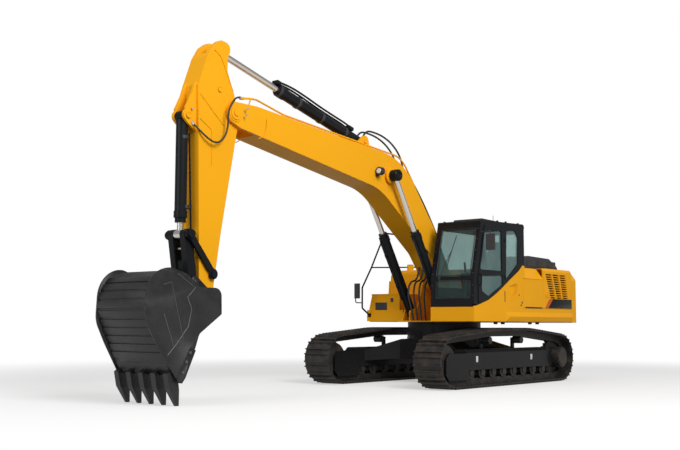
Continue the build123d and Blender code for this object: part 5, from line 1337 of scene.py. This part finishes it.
@dataclass
class HouseDress:
    """The blank plate, stripe, louvre lips, latches and lugs of the house, and dark panels on the engine's
    cover that are painted shade of its louvre slots.

    The plate's and the dark line's rows are the rear X, the front X and the height. Latches are X, Z and
    radius.
    """

    side: float = 1.4755
    mark: float = 0.003
    mark_bevel: float = 0.001
    plate_top: Point = (-2.745, -1.900, 1.700)
    plate_foot: Point = (-2.745, -1.685, 1.508)
    slash_top: Pair = (-1.888, -1.745)
    slash_foot: Pair = (-1.673, -1.560)
    dark_line: Point = (-1.43, -0.73, 1.507)
    dark_section: Pair = (0.006, 0.028)
    dark_bevel: float = 0.002
    louvre_count: int = 6
    louvre_y: float = 1.470
    louvre_front: Pair = (-0.115, 1.842)
    louvre_front_step: Pair = (0.05, 0.186)
    louvre_rear: Pair = (-0.440, 1.984)
    louvre_rear_step: float = 0.214
    louvre_width: float = 0.016
    louvre_bevel: float = 0.006
    handle_at: Pair = (0.068, 1.71)
    handle_out: float = -0.004
    handle: Brick = Brick((0.022, 0.008, 0.21), 0.003)
    latches_at: tuple[Point, ...] = ((-0.487, 1.749, 0.016), (-0.56, 1.548, 0.02), (-0.60, 1.60, 0.02))
    latch_out: float = -0.006
    latch_depth: float = 0.016
    latch_bevel: float = 0.003
    square_at: Pair = (-1.655, 1.815)
    square: Brick = Brick((0.17, 0.010, 0.17), 0.004)
    knob_out: float = 0.006
    knob: Round = Round(0.04, 0.012, 0.003, inset=0.01, sink=0.005)
    lugs_x: tuple[float, ...] = (0.215, -0.058, -1.141, -1.448)
    lug_y: float = 1.34
    lug_z: float = 1.195
    lug: Brick = Brick((0.09, 0.05, 0.055), 0.012)
    # dark panels that paint the shade of the engine cover's louvre slots: their places along the cover,
    # inset, drop and size
    bulge_shares: tuple[float, ...] = (0.2, 0.5, 0.8)
    bulge_in: float = 0.012
    bulge_drop: float = 0.02
    bulge: Brick = Brick((0.36, 0.05, 0.15), 0.022)

    def left(self, x: float, z: float, out: float = 0.0) -> Vector:
        """A place on the left side, or out from it."""
        return Vector((x, self.side + out, z))

    def marks(self, bench: Bench) -> None:
        """The blank dark plate, the stripe before it and the dark line under the door.

        Args:
            bench: the modelling bench.
        """
        out = LEFT * self.mark
        (rear, front, high), (rear_low, front_low, low) = self.plate_top, self.plate_foot
        corners = [self.left(rear, high), self.left(front, high), self.left(front_low, low),
                   self.left(rear_low, low)]
        bench.ship(bench.plate(corners, out, self.mark_bevel), "blank_side_plate", "grille", Finish.BLACK)
        corners = [self.left(self.slash_top[0], high), self.left(self.slash_top[1], high),
                   self.left(self.slash_foot[1], low), self.left(self.slash_foot[0], low)]
        bench.ship(bench.plate(corners, out, self.mark_bevel), "side_stripe", "grille", Finish.ORANGE)
        rear, front, z = self.dark_line
        form = Brick((front - rear, *self.dark_section), self.dark_bevel)
        line = bench.block(self.left((rear + front) / 2, z), form)
        bench.ship(line, "door_foot_seal", "left_door", Finish.PLASTIC)

    def louvres(self, bench: Bench) -> None:
        """The pressed lip over each slanting louvre of the cab's side panel.

        Args:
            bench: the modelling bench.
        """
        lips = []
        for i in range(self.louvre_count):
            share = i / (self.louvre_count - 1)
            front = Vector((self.louvre_front[0] - self.louvre_front_step[0] * share, self.louvre_y,
                            self.louvre_front[1] - self.louvre_front_step[1] * share))
            rear = Vector((self.louvre_rear[0], self.louvre_y,
                           self.louvre_rear[1] - self.louvre_rear_step * share))
            run = rear - front
            form = Brick((run.length, self.louvre_width, self.louvre_width), self.louvre_bevel)
            lips.append(bench.block((front + rear) / 2, form, math.degrees(math.atan2(run.z, run.x))))
        bench.ship(bench.join(lips), "louvre_lips", "upper", Finish.YELLOW)

    def latches(self, bench: Bench) -> None:
        """The panel's handle slot and round latches, and the square latch plate of the grille door.

        Args:
            bench: the modelling bench.
        """
        parts = [bench.block(self.left(*self.handle_at, self.handle_out), self.handle)]
        for x, z, radius in self.latches_at:
            form = Round(radius, self.latch_depth, self.latch_bevel)
            parts.append(bench.disc(self.left(x, z, self.latch_out), LEFT, form))
        bench.ship(bench.join(parts), "side_panel_latches", "upper", Finish.PLASTIC)
        square = bench.block(self.left(*self.square_at), self.square)
        knob = bench.disc(self.left(*self.square_at, self.knob_out), LEFT, self.knob)
        bench.ship(bench.join([square, knob]), "grille_latch_plate", "grille", Finish.YELLOW)

    def lugs(self, bench: Bench) -> None:
        """The dark lugs under the skirt's left side."""
        places = [Vector((x, self.lug_y, self.lug_z)) for x in self.lugs_x]
        lugs = bench.copies(bench.block(places[0], self.lug), places)
        bench.ship(lugs, "skirt_lugs", "upper", Finish.BLACK)

    def cover_bulges(self, bench: Bench) -> None:
        """Dark panels along the left side of the engine's cover: painted shade where its louvre slots are.

        Args:
            bench: the modelling bench.
        """
        low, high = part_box("hood_cover")
        y, z = high[1] - self.bulge_in, (low[2] + high[2]) / 2 - self.bulge_drop
        places = [Vector((low[0] + (high[0] - low[0]) * share, y, z)) for share in self.bulge_shares]
        # painted shade: the black blocks stand for the shade in the louvre slots, not a raised part
        painted_shade_panels = bench.copies(bench.block(places[0], self.bulge), places)
        bench.ship(painted_shade_panels, "cover_bulges", "hood", Finish.PLASTIC)

    def build(self, bench: Bench) -> None:
        """Makes the house's small parts.

        Args:
            bench: the modelling bench.
        """
        self.marks(bench)
        self.louvres(bench)
        self.latches(bench)
        self.lugs(bench)
        self.cover_bulges(bench)


@dataclass
class CabDress:
    """The seals, bolts, wiper, roof fittings and mirror glasses of the cab.

    Places on the front are Y, Z and how far they stand out.
    """

    front_foot: Pair = (1.195, 2.05)
    front_head: Pair = (0.940, 3.09)
    screen_sides: Pair = (0.62, 1.38)
    screens: tuple[Pair, ...] = ((2.085, 2.99), (1.66, 1.985))
    seal_out: float = 0.001
    seal_radius: float = 0.011
    motor_at: Point = (0.70, 2.035, 0.008)
    motor_axis: Point = (1.0, 0.0, 0.2)
    motor: Round = Round(0.03, 0.03, 0.006)
    wiper_arm: tuple[Point, ...] = ((0.70, 2.035, 0.022), (0.80, 2.30, 0.026), (0.90, 2.55, 0.02))
    wiper_arm_radius: float = 0.007
    blade: tuple[Point, ...] = ((0.84, 2.28, 0.008), (0.97, 2.86, 0.008))
    blade_radius: float = 0.008
    posts: Pair = (0.53, 1.44)
    bolt_heights: tuple[float, ...] = (1.70, 1.90, 2.12, 2.34, 2.56, 2.78, 2.98)
    bolt_out: float = 0.003
    bolt_axis: Point = (1.0, 0.0, 0.24)
    bolt: Round = Round(0.013, 0.014, 0.003, 16)
    bosses: tuple[Point, ...] = ((0.80, 1.40, 3.158), (0.24, 1.42, 3.176), (-0.08, 1.42, 3.182),
                                 (-0.56, 1.42, 3.186), (0.80, 0.56, 3.158), (-0.56, 0.56, 3.186))
    boss: Round = Round(0.022, 0.03, 0.006)
    roof_panel_at: Point = (0.15, 0.98, 3.176)
    roof_panel: Brick = Brick((0.95, 0.66, 0.05), 0.02)
    roof_slope: float = 1.4
    aerial: tuple[Point, ...] = ((-0.14, 1.1, 3.16), (-0.14, 1.1, 3.34))
    aerial_radius: float = 0.005
    left_glass_at: Point = (0.979, 1.722, 2.7075)
    left_glass: Brick = Brick((0.006, 0.15, 0.27), 0.002)
    right_glass_at: Point = (1.124, -1.36, 1.84)
    right_glass: Brick = Brick((0.006, 0.08, 0.27), 0.002)

    def front(self, y: float, z: float, out: float) -> Vector:
        """A place on the cab's front, which is upright up to its foot and leans back above it."""
        share = max(0.0, (z - self.front_foot[1]) / (self.front_head[1] - self.front_foot[1]))
        return Vector((self.front_foot[0] + (self.front_head[0] - self.front_foot[0]) * share + out, y, z))

    def seals(self, bench: Bench) -> None:
        """The rubber seals round the windscreen and the lower screen.

        Args:
            bench: the modelling bench.
        """
        runs = []
        near, far = self.screen_sides
        for low, high in self.screens:
            corners = ((near, low), (far, low), (far, high), (near, high), (near, low))
            ring = [self.front(y, z, self.seal_out) for y, z in corners]
            runs.append(bench.line(ring, self.seal_radius, straight=True))
        bench.ship(bench.join(runs), "screen_seals", "upper", Finish.HOSE)

    def wiper(self, bench: Bench) -> None:
        """The windscreen's wiper with its motor cap, arm and blade.

        Args:
            bench: the modelling bench.
        """
        cap = bench.disc(self.front(*self.motor_at), Vector(self.motor_axis), self.motor)
        arm = bench.line([self.front(*place) for place in self.wiper_arm], self.wiper_arm_radius)
        blade = bench.line([self.front(*place) for place in self.blade], self.blade_radius, straight=True)
        bench.ship(bench.join([cap, arm, blade]), "wiper", "upper", Finish.PLASTIC)

    def frame_bolts(self, bench: Bench) -> None:
        """The round bolt heads along the cab's front posts.

        Args:
            bench: the modelling bench.
        """
        places = [self.front(y, z, self.bolt_out) for y in self.posts for z in self.bolt_heights]
        heads = bench.copies(bench.disc(places[0], Vector(self.bolt_axis), self.bolt), places)
        bench.ship(heads, "front_post_bolts", "upper", Finish.PLASTIC)

    def roof_parts(self, bench: Bench) -> None:
        """The roof's bosses, its raised panel and the aerial.

        Args:
            bench: the modelling bench.
        """
        places = [Vector(place) for place in self.bosses]
        bosses = bench.copies(bench.disc(places[0], UP, self.boss), places)
        panel = bench.block(Vector(self.roof_panel_at), self.roof_panel, self.roof_slope)
        aerial = bench.line([Vector(place) for place in self.aerial], self.aerial_radius, straight=True)
        bench.ship(bench.join([bosses, panel, aerial]), "roof_fittings", "upper", Finish.PLASTIC)

    def mirrors(self, bench: Bench) -> None:
        """The glasses on the rear faces of both mirrors."""
        for name, place, form in (("left", self.left_glass_at, self.left_glass),
                                  ("right", self.right_glass_at, self.right_glass)):
            bench.ship(bench.block(Vector(place), form), f"{name}_mirror_glass", "upper", Finish.MIRROR)

    def build(self, bench: Bench) -> None:
        """Makes the cab's small parts.

        Args:
            bench: the modelling bench.
        """
        self.seals(bench)
        self.wiper(bench)
        self.frame_bolts(bench)
        self.roof_parts(bench)
        self.mirrors(bench)


@dataclass
class UndercarriageDress:
    """The bolts of the drive covers and the blank marks of the track frames."""

    bolt_count: int = 12
    bolt_circle: float = 0.135
    bolt_in: float = 0.009
    bolt: Round = Round(0.014, 0.016, 0.003, 6)
    plug: Round = Round(0.05, 0.016, 0.004, inset=0.012, sink=0.005)
    marks_x: Pair = (1.08, -0.98)
    mark_z: float = 0.52
    ray_y: float = 3.0
    mark: Brick = Brick((0.07, 0.006, 0.11), 0.002)

    def build(self, bench: Bench, frame: dict) -> None:
        """Makes the small parts of both track frames.

        Args:
            bench: the modelling bench.
            The marks lie on the outer face of its track frame.
        """
        low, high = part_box("drive_sprocket_left")
        hub = Vector(((low[0] + high[0]) / 2, high[1] - self.bolt_in, (low[2] + high[2]) / 2))
        turns = [math.tau * i / self.bolt_count for i in range(self.bolt_count)]
        places = [hub + Vector((math.cos(a), 0.0, math.sin(a))) * self.bolt_circle for a in turns]
        bolts = bench.copies(bench.disc(places[0], LEFT, self.bolt), places)
        cover = bench.join([bolts, bench.disc(hub, LEFT, self.plug)])
        bench.ship(bench.mirrored(cover), "drive_cover_bolts", "undercarriage", Finish.FRAME)
        for index, x in enumerate(self.marks_x):
            start = Vector((x, self.ray_y, self.mark_z))
            face = frame["nodes"]["track_frame_left"].ray_cast(start, -LEFT)[1]
            mark = bench.mirrored(bench.block(face, self.mark))
            bench.ship(mark, f"blank_mark_{index + 1}", "undercarriage", Finish.WHITE)


@dataclass
class RightSideDress:
    """The blank sign and latch of the tool box, and the top of the fuel tank's cap."""

    sign_out: float = 0.003
    sign_at: Pair = (-1.12, 1.53)
    sign: Brick = Brick((0.006, 0.30, 0.16), 0.002)
    latch_out: float = 0.008
    latch_at: Pair = (-0.84, 1.66)
    latch: Brick = Brick((0.016, 0.06, 0.08), 0.004)
    cap_at: Pair = (-0.43, -1.15)
    cap_in: float = 0.003
    cap: Round = Round(0.07, 0.012, 0.004, 12, inset=0.02, sink=-0.004)

    def build(self, bench: Bench) -> None:
        """Makes the small parts ahead of the tanks and on them.

        Args:
            bench: the modelling bench.
        """
        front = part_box("tool_box")[1][0]
        sign = bench.block(Vector((front + self.sign_out, *self.sign_at)), self.sign)
        latch = bench.block(Vector((front + self.latch_out, *self.latch_at)), self.latch)
        bench.ship(bench.join([sign, latch]), "tool_box_sign", "upper", Finish.PLASTIC)
        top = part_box("fuel_tank")[1][2]
        cap = bench.disc(Vector((*self.cap_at, top - self.cap_in)), UP, self.cap)
        bench.ship(cap, "fuel_cap_top", "upper", Finish.PLASTIC)


# ---------------------------------------------------------------- carried-over pieces
def dress_nodes(shop: Workshop, frame: dict) -> None:
    """Gives every carried-over node the finish of its slot.

    Args:
        shop: the finishes' workshop.
    """
    slots = {part["node"]: part["material_slot"] for part in frame["record"]["subparts"]}
    finishes = {finish.value.name: finish for finish in Finish}
    for name, thing in frame["nodes"].items():
        shop.dress(thing, finishes[slots[name]])
    LOG.info("dressed %d nodes", len(slots))


def main() -> None:
    """Builds the dressed machine in its studio."""
    logging.basicConfig(level=logging.INFO, format="%(message)s")
    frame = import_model()
    Studio().build()
    shop = Workshop()
    bench = Bench(shop)
    Hoses().build(bench, frame)
    dress_nodes(shop, frame)
    BucketShell().build(bench, frame)
    BoomDress().build(bench)
    ArmDress().build(bench)
    cylinders = CylinderDress()
    cylinders.arm_cylinder(bench)
    cylinders.bucket_cylinder(bench)
    cylinders.boom_cylinders(bench)
    HouseDress().build(bench)
    CabDress().build(bench)
    UndercarriageDress().build(bench, frame)
    RightSideDress().build(bench)
    LOG.info("made %d pieces", bench.count)


if __name__ == "__main__":
    main()
